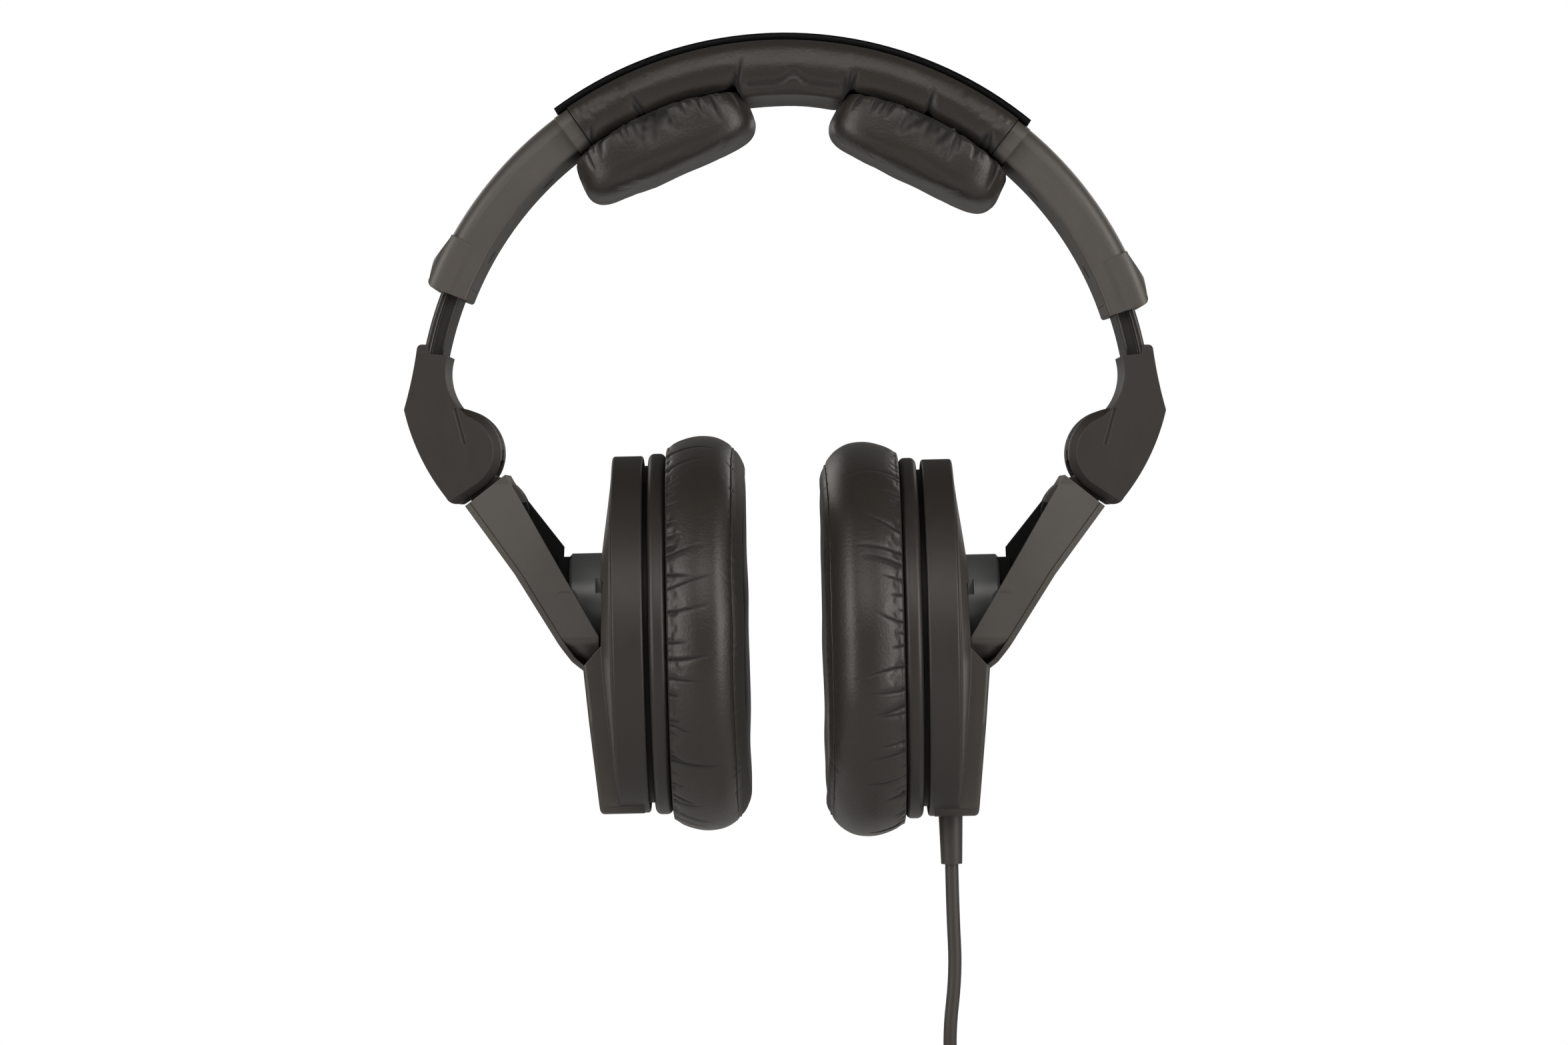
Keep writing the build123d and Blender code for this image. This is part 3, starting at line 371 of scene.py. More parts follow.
def crease_relief(across, along, whole, creases):
    """Height of the creases over a surface, and the painted shade in their folds at each spot, from 0
    to 1.
    """
    height = np.zeros_like(across)
    painted_shade = np.zeros_like(across)
    for one in creases:
        line = one["place"] + one["slant"] * along + one["bow"] * along**2
        offset = (across - line + whole / 2) % whole - whole / 2
        reach = along / one["length"]
        near = (np.abs(offset) < CREASE_REACH) & (reach < 1)
        fade = np.clip(1 - reach, 0, 1) ** 0.6 * np.clip(along / 0.5 + 1, 0, 1)
        width = one["width"] * (0.5 + 0.5 * fade)
        side_width = np.where(offset * one["soft_side"] > 0, SOFT_SIDE, STEEP_SIDE) * width
        valley = np.exp(-((offset / side_width) ** 2))
        from_lip = offset + one["soft_side"] * LIP_OFFSET * width
        lip = LIP_HEIGHT * np.exp(-((from_lip / (LIP_WIDTH * width)) ** 2))
        height += np.where(near, one["depth"] * fade * (lip - valley), 0)
        # painted shade: the crease's valley is darkened in colour
        dark = np.exp(-((offset / (DARK_WIDTH * width)) ** 2)) * np.clip(1.8 * fade, 0, 1)
        painted_shade = np.maximum(painted_shade, np.where(near, dark, 0))
    return height, painted_shade


def waves(random, first, second, size, count, spread):
    """Gentle random undulation of a surface, as a sum of waves no shorter than size."""
    height = np.zeros_like(first)
    for _ in range(count):
        turn = random.uniform(0, 2 * pi)
        rate = 2 * pi / (size * random.uniform(1, spread))
        height += np.sin((first * cos(turn) + second * sin(turn)) * rate + random.uniform(0, 2 * pi))
    return height / sqrt(count)


# ---------------------------------------------------------------- ear cushions

CUSHION_PROFILE = [          # X outwards, and from -1 at the ear opening to +1 at the outside
    (RING_X, 0.60),
    (28.2, 0.74),
    (25.0, 0.90),
    (20.8, 0.99),
    (16.2, 0.93),
    (12.4, 0.68),
    (9.9, 0.30),
    (9.3, -0.08),
    (10.4, -0.44),
    (13.2, -0.74),
    (18.2, -0.92),
    (24.5, -0.95),
    (29.0, -0.88),
    (RING_X, -0.40),
    (RING_X, 0.20),
]


def cushion_form(columns, rows):
    """The cushion before it is filled: columns round the ear, rows round its section."""
    profile = closed_curve(CUSHION_PROFILE, rows)
    turn = np.linspace(0, 2 * pi, columns, endpoint=False)[:, None]
    x = np.repeat(profile[None, :, 0], columns, 0)
    out = profile[None, :, 1]
    thin = np.clip(-np.sin(turn), 0, 1) * 0.9 * np.clip((20 - x) / 10, 0, 1)
    y = (CUSHION_MID[0] + CUSHION_THICK[0] * out) * np.sin(turn)
    z = (CUSHION_MID[1] + CUSHION_THICK[1] * out) * np.cos(turn) + CUP_Z
    return np.stack([x + thin, y, z], axis=2)


def on_cup(grid, side):
    """Points drawn for the upright left cup, moved to a side and leaned with its cup."""
    sign = SIDES[side]
    pivot_x, _, pivot_z = TILT[side]
    x = sign * grid[..., 0] - pivot_x
    z = grid[..., 2] - pivot_z
    turned_x = pivot_x + x * cos(CUP_LEAN) + z * sin(CUP_LEAN)
    turned_z = pivot_z - x * sin(CUP_LEAN) + z * cos(CUP_LEAN)
    return np.stack([turned_x, grid[..., 1], turned_z], axis=-1)


def held_points(form):
    """Where the cushion's cloth is held, as 0 or 1: at its ring and along its line of stitches."""
    rows = np.indices(form.shape[:2])[1]
    at_ring = form[..., 0] > SEAM_X
    stitched = (np.abs(form[..., 0] - STITCH_X) < STITCH_HALF) & (rows > form.shape[1] // 2)
    return np.where(at_ring | stitched, 1.0, 0.0)


def cushion_relief(random, grid, welt_row, welt_x):
    """Height of a cushion's creases, welt seam and undulation, and the painted shade of each spot."""
    across, whole = lengths_along(grid, 0, True)
    around, _ = lengths_along(grid, 1, True)
    seam_whole = float(whole[0])
    across = across / whole[None, :] * seam_whole
    creases = crease_sets(random, seam_whole, CUSHION_CREASES)
    height, painted_shade = crease_relief(across, around, seam_whole, creases)
    from_welt = around - around[:, welt_row][:, None]
    tucks = crease_sets(random, seam_whole, WELT_TUCKS)
    tuck_height, tuck_painted_shade = crease_relief(across, np.abs(from_welt), seam_whole, tucks)
    height += tuck_height - 0.25 * np.exp(-((from_welt / 0.7) ** 2))
    height += 0.10 * waves(random, across, around, 14, 10, 2.2)
    # painted shade: the panel facing the head is darkened, and so are the welt's tucks
    head_panel = np.clip((welt_x - grid[..., 0]) / 0.6, 0, 1)
    painted_shade = np.maximum(painted_shade, np.maximum(0.5 * tuck_painted_shade, 0.6 * head_panel))
    free = np.clip((RING_X - grid[..., 0]) / 0.6, 0, 1)
    return height * free, painted_shade


def make_ear_cushion(side, seed):
    """Leatherette ear cushion: filled skin, gathered at its ring, with a welt near the head."""
    random = np.random.default_rng(seed)
    closed = (True, True)
    form = cushion_form(144, 44)
    filled = puff(form, closed, held_points(form), CUSHION_PUFF)
    grid = refine(filled, 800, 120, closed)
    normal = normals_of(grid, closed)
    welt_row = int(np.argmax(grid[0, :, 0] < WELT_X[side]))
    height, painted_shade = cushion_relief(random, grid, welt_row, WELT_X[side])
    grid = grid + normal * height[..., None]
    name = f"{side}_ear_cushion"
    cover = mesh_from_grid(f"{name}_cover", on_cup(grid, side), closed, side == "right", painted_shade=painted_shade)
    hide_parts(f"{side}_ear_cushion")
    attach(cover, f"{side}_cup")
    welt_line = grid[:, welt_row] + normal[:, welt_row] * 0.1
    welt, spline = tube(f"{name}_welt", on_cup(welt_line, side), WELT_D, "POLY", 2)
    spline.use_cyclic_u = True
    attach(welt, f"{side}_cup")
    return [cover, welt]


# ---------------------------------------------------------------- headband: crown pads and sleeve

def on_arch(along, radius, y, angle):
    """Points given by distance along the chord at an angle of the arch, radius from its axis, and Y."""
    turn = angle + BAND_ROLL
    x = radius * sin(turn) + along * cos(turn)
    z = ARCH_Z + radius * cos(turn) - along * sin(turn)
    return np.stack([x, y, z], axis=-1)


PAD_PROFILE = [              # share of the outline's size, and height from the underside to the sleeve
    (0.001, 0.0),
    (0.50, 0.0),
    (0.80, 0.015),
    (0.925, 0.10),
    (0.99, 0.28),
    (1.0, 0.56),
    (0.99, 0.84),
    (0.95, 0.98),
    (0.75, 1.0),
    (0.001, 1.0),
]


def pad_form(columns, rows, angle):
    """The crown pad before it is filled: columns round it, rows from underside to top."""
    profile = refine(np.array(PAD_PROFILE)[:, None, :], 400, 1, (False, False))[:, 0]
    sides = np.diff(profile * PAD_SECTION, axis=0)
    step = np.concatenate([[0], np.cumsum(np.hypot(*sides.T))])
    wanted = np.linspace(0, step[-1], rows)
    share = np.interp(wanted, step, profile[:, 0])[None, :]
    height = np.interp(wanted, step, profile[:, 1])[None, :]
    turn = np.linspace(0, 2 * pi, columns, endpoint=False)[:, None]
    along = PAD_HALF[0] * np.sign(np.cos(turn)) * np.abs(np.cos(turn)) ** PAD_SQUARENESS * share
    y = PAD_HALF[1] * np.sign(np.sin(turn)) * np.abs(np.sin(turn)) ** PAD_SQUARENESS * share
    top = np.sqrt(PAD_TOP_R**2 - along**2)
    radius = PAD_CHORD_R + height * (top - PAD_CHORD_R)
    return on_arch(along, radius, y, angle)


def pad_creases(random, seam_whole):
    """A pad's creases: all round its edge, and a fan in the middle of each long side."""
    creases = crease_sets(random, seam_whole, PAD_CREASES)
    for middle_of_side in (0.25, 0.75):
        for step in PAD_FAN_STEPS:
            place = seam_whole * middle_of_side + 0.3 * step
            fan = crease(random, place, 9.5, 1.3, 0.65, slant=0)
            fan["slant"] = 0.22 * step
            creases.append(fan)
    return creases


def pad_relief(random, grid):
    """Height of a pad's creases and undulation, and the painted shade of each spot."""
    rows = grid.shape[1]
    across, whole = lengths_along(grid, 0, True)
    around, _ = lengths_along(grid, 1, False)
    edge = int(PAD_EDGE * rows)
    from_edge = around[:, edge][:, None] - around
    seam_whole = float(whole[edge])
    across = across / np.maximum(whole[None, :], 1e-6) * seam_whole
    creases = pad_creases(random, seam_whole)
    height, painted_shade = crease_relief(across, np.clip(from_edge, 0, None), seam_whole, creases)
    height *= np.clip(from_edge / 0.5 + 1, 0, 1)
    off_middle = np.clip(np.arange(rows) / 12, 0, 1)[None, :]
    height += 0.12 * waves(random, across, around, 11, 10, 2.0) * off_middle
    below_top = np.clip((0.93 - np.linspace(0, 1, rows)) / 0.1, 0, 1)[None, :]
    return height * below_top, painted_shade


def make_crown_pad(side, seed):
    """Soft pad under the sleeve, gathered along its top edge."""
    random = np.random.default_rng(seed)
    closed = (True, False)
    form = pad_form(96, 34, SIDES[side] * PAD_ANGLE)
    rows = np.indices(form.shape[:2])[1] / (form.shape[1] - 1)
    held = np.where((rows > 0.72) | (rows < 0.02), 1.0, 0.0)
    grid = refine(puff(form, closed, held, PAD_PUFF), 600, 110, closed)
    normal, flipped = outward_normals(grid, closed, grid.reshape(-1, 3).mean(0))
    height, painted_shade = pad_relief(random, grid)
    grid = grid + normal * height[..., None]
    piece = mesh_from_grid(f"{side}_crown_pad_cover", grid, closed, flipped, painted_shade=painted_shade)
    close_ends(piece)
    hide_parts(f"{side}_crown_pad")
    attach(piece, "headband")
    return piece


def close_ends(piece):
    """Joins the tiny first and last rings of a pad's grid into single points."""
    mesh = bmesh.new()
    mesh.from_mesh(piece.data)
    bmesh.ops.remove_doubles(mesh, verts=mesh.verts, dist=0.05 * MM)
    mesh.to_mesh(piece.data)
    mesh.free()
    piece.data.shade_smooth()


def sleeve_section(rows):
    """Y and radius round the sleeve's section, from the middle of its top."""
    low, high = SLEEVE_R
    corner = SLEEVE_CORNER
    flat_y = SLEEVE_HALF - corner
    outline = [(0, high), (flat_y, high)]
    outline += [(flat_y + corner * sin(a), high - corner + corner * cos(a)) for a in (0.5, 1.07)]
    outline += [(SLEEVE_HALF, high - corner)]
    outline += [(SLEEVE_HALF + SLEEVE_WIDENING, (low + high) / 2)]
    outline += [(SLEEVE_HALF, low + corner)]
    outline += [(flat_y + corner * cos(a), low + corner - corner * sin(a)) for a in (0.5, 1.07)]
    outline += [(flat_y, low), (0, low - 0.1)]
    outline += [(-y, r) for y, r in reversed(outline[1:-1])]
    return closed_curve(outline, rows)


def sleeve_form(columns, rows):
    """The sleeve: columns along the arch, rows round its section, thicker at the crown."""
    low, high = SLEEVE_R
    section = sleeve_section(rows)
    angle = np.linspace(-SLEEVE_ANGLE, SLEEVE_ANGLE, columns)[:, None]
    degrees_off = np.abs(angle) * 180 / pi
    swell = np.clip((LUMP_END - degrees_off) / LUMP_FADE, 0, 1)
    swell = swell * swell * (3 - 2 * swell)
    depth = np.clip((high - section[None, :, 1]) / (high - low), 0, 1)
    radius = section[None, :, 1] - swell * (low - CROWN_R) * depth**1.5
    y = np.repeat(section[None, :, 0], columns, 0)
    turn = angle + BAND_ROLL
    return np.stack([radius * np.sin(turn), y, ARCH_Z + radius * np.cos(turn)], axis=2)


MIDDLE_R = 90               # turns an angle of the arch into a distance along it
ARCH_WHOLE = 1000           # longer than the arch, so that no pucker comes round again


def sleeve_puckers(random):
    """Short creases under the sleeve, in loose groups."""
    puckers = []
    for place, count, spread in SLEEVE_PUCKERS:
        for _ in range(count):
            start = ARCH_WHOLE / 2 + place + random.normal(0, spread)
            puckers.append(crease(random, start, random.uniform(3.0, 7.0), 0.6, 0.6, slant=0.3))
    return puckers


def crown_tuck(along, depth):
    """A tuck on the sides of the sleeve's thicker middle, lifted at the crown, from 0 to 1."""
    lump = np.clip((14.0 - np.abs(along)) / 2.0, 0, 1)
    tuck_line = SLEEVE_R[1] - TUCK_R - TUCK_LIFT * np.exp(-((along / 2.6) ** 2))
    return np.exp(-(((depth - tuck_line) / 0.8) ** 2)) * lump


def sleeve_relief(random, grid):
    """Height of the sleeve's puckers, tuck and undulation, and the painted shade of each spot."""
    angle = np.arctan2(grid[..., 0], grid[..., 2] - ARCH_Z) - BAND_ROLL
    along = angle * MIDDLE_R
    depth = SLEEVE_R[1] - np.hypot(grid[..., 0], grid[..., 2] - ARCH_Z)
    from_under = np.clip(SLEEVE_R[1] - SLEEVE_R[0] - depth, 0, None)
    puckers = sleeve_puckers(random)
    height, painted_shade = crease_relief(along + ARCH_WHOLE / 2, from_under, ARCH_WHOLE, puckers)
    height += 0.10 * waves(random, along, depth, 16, 10, 2.4)
    tuck = crown_tuck(along, depth)
    height -= 0.8 * tuck
    # painted shade along the tuck
    painted_shade = np.maximum(painted_shade, 0.7 * tuck**2)
    off_ends = np.clip((SLEEVE_ANGLE - np.abs(angle)) * MIDDLE_R / 1.5, 0, 1)
    off_trim = np.clip(depth / 1.2 - 0.3, 0, 1)
    return height * off_ends * off_trim, painted_shade


def make_sleeve(seed):
    """Leatherette sleeve round the middle of the headband."""
    random = np.random.default_rng(seed)
    closed = (False, True)
    form = sleeve_form(110, 44)
    columns = np.indices(form.shape[:2])[0]
    radius = np.hypot(form[..., 0], form[..., 2] - ARCH_Z)
    at_ends = (columns < 2) | (columns > form.shape[0] - 3)
    held = np.where(at_ends | (radius > SLEEVE_R[1] - 1.5), 1.0, 0.0)
    filled = puff(form, closed, held, SLEEVE_PUFF, caps=True)
    grid = refine(filled, 420, 144, closed)
    normal, flipped = outward_normals(grid, closed, grid.mean(axis=1, keepdims=True))
    height, painted_shade = sleeve_relief(random, grid)
    grid = grid + normal * height[..., None]
    piece = mesh_from_grid("headband_sleeve_cover", grid, closed, flipped, caps=True, painted_shade=painted_shade)
    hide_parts("headband_sleeve")
    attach(piece, "headband")
    return piece


# ---------------------------------------------------------------- cord

def leaned(x, z):
    """A point of the upright left cup after it leans."""
    point = on_cup(np.array([x, 0.0, z]), "left")
    return float(point[0]), float(point[2])


def coil_points():
    """The coil's turns: each row winds in or out, then hops one cord's width forwards."""
    centre_x, centre_z = COIL_CENTRE
    inner_r = COIL_OUTER_R - (COIL_LAYERS - 1) * CORD_D
    back_y = (COIL_ROWS - 1) / 2 * CORD_D
    turns_in_row = COIL_LAYERS - 1
    whole_turns = COIL_ROWS * COIL_LAYERS - 1 + (COIL_END - COIL_START) / 360
    # The smooth cord runs at this share of its points' own radius.
    pulled_in = 0.75 + 0.25 * cos(2 * pi / POINTS_PER_TURN)
    points = []
    for n in range(int(whole_turns * POINTS_PER_TURN) + 1):
        turned = n / POINTS_PER_TURN
        row, in_row = divmod(turned, COIL_LAYERS)
        spiral = min(in_row / turns_in_row, 1)
        hop = max(in_row - turns_in_row, 0)
        share = spiral if row % 2 == 0 else 1 - spiral
        radius = COIL_OUTER_R + (inner_r - COIL_OUTER_R) * share
        y = back_y - CORD_D * (row + sqrt(2 * hop - hop * hop))
        turn = radians(COIL_START) + turned * 2 * pi
        reach = radius / pulled_in
        points.append((centre_x + reach * sin(turn), y, centre_z + reach * cos(turn)))
    return points


def cord_route():
    """The cord's points: out of the strain relief, down to the coil, round it, and to the plug."""
    start_x, start_z = leaned(RELIEF_EXIT_X, RELIEF_EXIT_Z)
    plug_low, plug_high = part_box("plug_grip")
    plug_x = (plug_low.x + plug_high.x) / 2 / MM
    plug_z = plug_high.z / MM
    points = [(start_x, 0.0, start_z)] + CORD_DROP + coil_points()
    return points + [(plug_x, y, plug_z + above) for y, above in PLUG_APPROACH]


def make_cord():
    """The whole cord as one smooth curve."""
    points = cord_route()
    piece, spline = tube("headphone_cord", points, CORD_D, "NURBS", 6)
    piece.data.resolution_u = 6
    piece.data.use_fill_caps = True
    spline.order_u = 3
    spline.use_endpoint_u = True
    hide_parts("cord", "cord_coil", "cord_tail")
    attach(piece, "left_cup")
    return piece


# ---------------------------------------------------------------- materials

def new_material(name):
    """An empty node material with a Principled shader; returns material, tree and shader."""
    material = bpy.data.materials.new(name)
    material.use_nodes = True
    tree = material.node_tree
    tree.nodes.clear()
    output = tree.nodes.new("ShaderNodeOutputMaterial")
    shader = tree.nodes.new("ShaderNodeBsdfPrincipled")
    tree.links.new(shader.outputs["BSDF"], output.inputs["Surface"])
    return material, tree, shader


def coordinates(tree, stretch=(1, 1, 1)):
    """Object coordinates, stretched along the axes."""
    source = tree.nodes.new("ShaderNodeTexCoord")
    mapping = tree.nodes.new("ShaderNodeMapping")
    mapping.inputs["Scale"].default_value = stretch
    tree.links.new(source.outputs["Object"], mapping.inputs["Vector"])
    return mapping.outputs["Vector"]


def noise(tree, vector, feature_mm, detail=3.0, roughness=0.5, distortion=0.0):
    """Noise whose features are about feature_mm across."""
    node = tree.nodes.new("ShaderNodeTexNoise")
    node.inputs["Scale"].default_value = 1 / (feature_mm * MM)
    node.inputs["Detail"].default_value = detail
    node.inputs["Roughness"].default_value = roughness
    node.inputs["Distortion"].default_value = distortion
    tree.links.new(vector, node.inputs["Vector"])
    return node.outputs["Fac"]


def cells(tree, vector, feature_mm):
    """Voronoi cells about feature_mm across."""
    node = tree.nodes.new("ShaderNodeTexVoronoi")
    node.inputs["Scale"].default_value = 1 / (feature_mm * MM)
    tree.links.new(vector, node.inputs["Vector"])
    return node.outputs["Distance"]


def mapped(tree, value, low, high, from_low=0.0, from_high=1.0):
    """A value moved from one range to another."""
    node = tree.nodes.new("ShaderNodeMapRange")
    node.inputs["From Min"].default_value = from_low
    node.inputs["From Max"].default_value = from_high
    node.inputs["To Min"].default_value = low
    node.inputs["To Max"].default_value = high
    tree.links.new(value, node.inputs["Value"])
    return node.outputs["Result"]


def combined(tree, operation, first, second):
    """A maths node on two values, the second of which may be a number."""
    node = tree.nodes.new("ShaderNodeMath")
    node.operation = operation
    tree.links.new(first, node.inputs[0])
    if isinstance(second, (int, float)):
        node.inputs[1].default_value = second
    else:
        tree.links.new(second, node.inputs[1])
    return node.outputs[0]


def mixed_colour(tree, share, first, second):
    """A colour between two, each a plain colour or a socket."""
    node = tree.nodes.new("ShaderNodeMix")
    node.data_type = "RGBA"
    tree.links.new(share, node.inputs["Factor"])
    low_colour, high_colour = node.inputs[6], node.inputs[7]  # its sockets share names, so by place
    for socket, colour in ((low_colour, first), (high_colour, second)):
        if isinstance(colour, tuple):
            socket.default_value = (*colour, 1)
        else:
            tree.links.new(colour, socket)
    return node.outputs[2]


def bumped(tree, height, depth_mm, strength=1.0, normal=None):
    """A normal bumped by a height from 0 to 1, depth_mm deep."""
    node = tree.nodes.new("ShaderNodeBump")
    node.inputs["Strength"].default_value = strength
    node.inputs["Distance"].default_value = depth_mm * MM
    tree.links.new(height, node.inputs["Height"])
    if normal is not None:
        tree.links.new(normal, node.inputs["Normal"])
    return node.outputs["Normal"]


def rounded_edges(tree, radius_mm):
    """The normal with edges rounded, and how much each spot is an edge."""
    bevel = tree.nodes.new("ShaderNodeBevel")
    bevel.samples = 6
    bevel.inputs["Radius"].default_value = radius_mm * MM
    geometry = tree.nodes.new("ShaderNodeNewGeometry")
    dot = tree.nodes.new("ShaderNodeVectorMath")
    dot.operation = "DOT_PRODUCT"
    tree.links.new(bevel.outputs["Normal"], dot.inputs[0])
    tree.links.new(geometry.outputs["Normal"], dot.inputs[1])
    edge = mapped(tree, dot.outputs["Value"], 1.0, 0.0, 0.82, 0.995)
    return bevel.outputs["Normal"], edge


def scaled(colour, factor):
    """A colour made lighter or darker."""
    return tuple(min(1.0, value * factor) for value in colour)


def plastic(name, colour, rough, grain_mm=0.28, grain_depth=0.02, wear_and_highlight=1.5, edge_mm=0.35, gloss=0.5):
    """Moulded plastic: fine spark texture, slight blotches, softened edges lightened in patches, partly
    as rubbed wear and partly as a painted highlight.
    """
    material, tree, shader = new_material(name)
    place = coordinates(tree)
    normal, edge = rounded_edges(tree, edge_mm)
    blotch = noise(tree, place, 16, 4)
    base = mixed_colour(tree, blotch, scaled(colour, 0.86), scaled(colour, 1.14))
    # edges lightened in patches: partly rubbed wear, partly a painted edge highlight
    rub_and_highlight = combined(tree, "MULTIPLY", edge, mapped(tree, noise(tree, place, 5, 5), 0.25, 1.0, 0.35, 0.6))
    tree.links.new(mixed_colour(tree, rub_and_highlight, base, scaled(colour, wear_and_highlight)), shader.inputs["Base Color"])
    grain = noise(tree, place, grain_mm, 2, 0.6)
    normal = bumped(tree, grain, grain_depth, 0.55, normal)
    normal = bumped(tree, noise(tree, place, 7, 3), 0.05, 0.25, normal)
    tree.links.new(normal, shader.inputs["Normal"])
    shader.inputs["Specular IOR Level"].default_value = gloss
    streak = noise(tree, coordinates(tree, (1, 1, 0.35)), 3.0, 5)
    tree.links.new(mapped(tree, streak, rough - 0.07, rough + 0.07), shader.inputs["Roughness"])
    return material


def leatherette(name, colour, rough):
    """Thin synthetic leather: pebbled grain and fine stretch lines, with painted shade in the hollows
    of the grain and wherever the fold attribute marks it.
    """
    material, tree, shader = new_material(name)
    place = coordinates(tree)
    patch = noise(tree, place, 13, 5, 0.6)
    base = mixed_colour(tree, patch, scaled(colour, 0.78), scaled(colour, 1.24))
    pebble = cells(tree, place, 0.75)
    pits = noise(tree, place, 0.32, 3, 0.6)
    line_place = coordinates(tree, (0.35, 1, 1))
    lines = noise(tree, line_place, 1.7, 4, 0.62, 0.6)
    normal = bumped(tree, lines, 0.08, 0.5)
    normal = bumped(tree, pebble, 0.05, 0.55, normal)
    normal = bumped(tree, pits, 0.02, 0.5, normal)
    tree.links.new(normal, shader.inputs["Normal"])
    # painted shade: the hollow middle of each pebble of the grain is darkened
    grain_hollow_shade = mapped(tree, pebble, 1.0, 0.0, 0.0, 0.5)
    shade = mixed_colour(tree, combined(tree, "MULTIPLY", grain_hollow_shade, 0.35), base, scaled(colour, 0.6))
    painted_shade = tree.nodes.new("ShaderNodeAttribute")
    painted_shade.attribute_name = "fold"
    # painted shade from the fold attribute: creases, tucks and a cushion's head panel are darkened
    shade = mixed_colour(tree, painted_shade.outputs["Fac"], shade, scaled(colour, 0.08))
    tree.links.new(shade, shader.inputs["Base Color"])
    worn = mapped(tree, patch, rough + 0.05, rough - 0.05)
    dull = combined(tree, "ADD", worn, mapped(tree, painted_shade.outputs["Fac"], 0.0, 0.5))
    tree.links.new(dull, shader.inputs["Roughness"])
    shader.inputs["Sheen Weight"].default_value = 0.06
    shader.inputs["Sheen Roughness"].default_value = 0.5
    return material


def metal(name, colour, rough):
    """Metal with a fine blasted surface."""
    material, tree, shader = new_material(name)
    place = coordinates(tree)
    lines = noise(tree, place, 0.4, 4, 0.6)
    shader.inputs["Metallic"].default_value = 1.0
    tone = mixed_colour(tree, noise(tree, place, 4, 3), scaled(colour, 0.85), scaled(colour, 1.1))
    tree.links.new(tone, shader.inputs["Base Color"])
    tree.links.new(mapped(tree, lines, rough - 0.08, rough + 0.1), shader.inputs["Roughness"])
    normal, _ = rounded_edges(tree, 0.15)
    tree.links.new(bumped(tree, lines, 0.01, 0.4, normal), shader.inputs["Normal"])
    return material


def jacket(name, colour, rough):
    """Soft cable jacket with faint extrusion marks."""
    material, tree, shader = new_material(name)
    place = coordinates(tree)
    tone = noise(tree, place, 9, 4)
    tree.links.new(mixed_colour(tree, tone, scaled(colour, 0.85), scaled(colour, 1.15)),
                   shader.inputs["Base Color"])
    marks = noise(tree, place, 0.5, 3)
    tree.links.new(mapped(tree, marks, rough - 0.06, rough + 0.06), shader.inputs["Roughness"])
    tree.links.new(bumped(tree, marks, 0.015, 0.5), shader.inputs["Normal"])
    return material


def weave(name, colour):
    """Fine black acoustic cloth over the grille."""
    material, tree, shader = new_material(name)
    place = coordinates(tree)
    threads = []
    for direction in ("Y", "Z"):
        node = tree.nodes.new("ShaderNodeTexWave")
        node.bands_direction = direction
        node.inputs["Scale"].default_value = 320
        tree.links.new(place, node.inputs["Vector"])
        threads.append(node.outputs["Fac"])
    cloth = combined(tree, "MULTIPLY", *threads)
    tree.links.new(mixed_colour(tree, cloth, scaled(colour, 0.5), scaled(colour, 1.6)),
                   shader.inputs["Base Color"])
    tree.links.new(bumped(tree, cloth, 0.12, 0.9), shader.inputs["Normal"])
    shader.inputs["Roughness"].default_value = 0.9
    return material


def make_materials():
    """Every material by name."""
    return {
        "leatherette": leatherette("leatherette", (0.0200, 0.0170, 0.0135), 0.40),
        "ring": plastic("ring_plastic", (0.0200, 0.0175, 0.0150), 0.42),
        "band": plastic("band_plastic", (0.0215, 0.0186, 0.0158), 0.46),
        "shell": plastic("shell_plastic", (0.0480, 0.0425, 0.0370), 0.44),
        "arm": plastic("arm_plastic", (0.0700, 0.0630, 0.0565), 0.40),
        "shoulder": plastic("shoulder_plastic", (0.0245, 0.0215, 0.0185), 0.44, grain_mm=0.22),
        "trim": plastic("trim_plastic", (0.0035, 0.0037, 0.0045), 0.34,
                        grain_depth=0.008, wear_and_highlight=1.2, gloss=0.1),
        "post": plastic("post_plastic", (0.1100, 0.1130, 0.1150), 0.34, grain_depth=0.006, wear_and_highlight=1.2),
        "black": plastic("black_plastic", (0.003, 0.003, 0.003), 0.5, wear_and_highlight=1.2, gloss=0.2),
        "rail": plastic("rail_coating", (0.022, 0.020, 0.018), 0.30, grain_depth=0.005),
        "steel": metal("spring_steel", (0.52, 0.52, 0.53), 0.30),
        "plug": metal("plug_plating", (0.90, 0.72, 0.38), 0.20),
        "jacket": jacket("cable_jacket", (0.0350, 0.0305, 0.0265), 0.52),
        "weave": weave("grille_cloth", (0.014, 0.014, 0.014)),
        "film": jacket("diaphragm_film", (0.30, 0.24, 0.16), 0.25),
    }


NODE_MATERIALS = {
    "top_trim": "trim",
    "headband_sleeve": "leatherette",
    "spring_band": "steel",
    "crossover_lead": "jacket",
    "arm_cover_screws": "black",
    "crown_pad": "leatherette",
    "arm_shell": "arm",
    "arm_cover": "arm",
    "detent_spring": "steel",
    "slide_rail": "rail",
    "shoulder_front": "shoulder",
    "shoulder_back": "shoulder",
    "shoulder_screws": "steel",
    "fold_detent": "black",
    "fold_pin": "steel",
    "yoke_arm": "arm",
    "yoke_cover": "arm",
    "tilt_pin": "steel",
    "swivel_post": "post",
    "post_retainer": "steel",
    "cup_shell": "shell",
    "baffle": "black",
    "cushion_ring": "ring",
    "driver_grille": "weave",
    "driver_frame": "black",
    "driver_magnet": "steel",
    "driver_diaphragm": "film",
    "ear_cushion": "leatherette",
    "strain_relief": "jacket",
    "cord": "jacket",
    "cord_coil": "jacket",
    "coil_tie": "black",
    "cord_tail": "jacket",
    "plug_grip": "jacket",
    "plug_contacts": "plug",
}


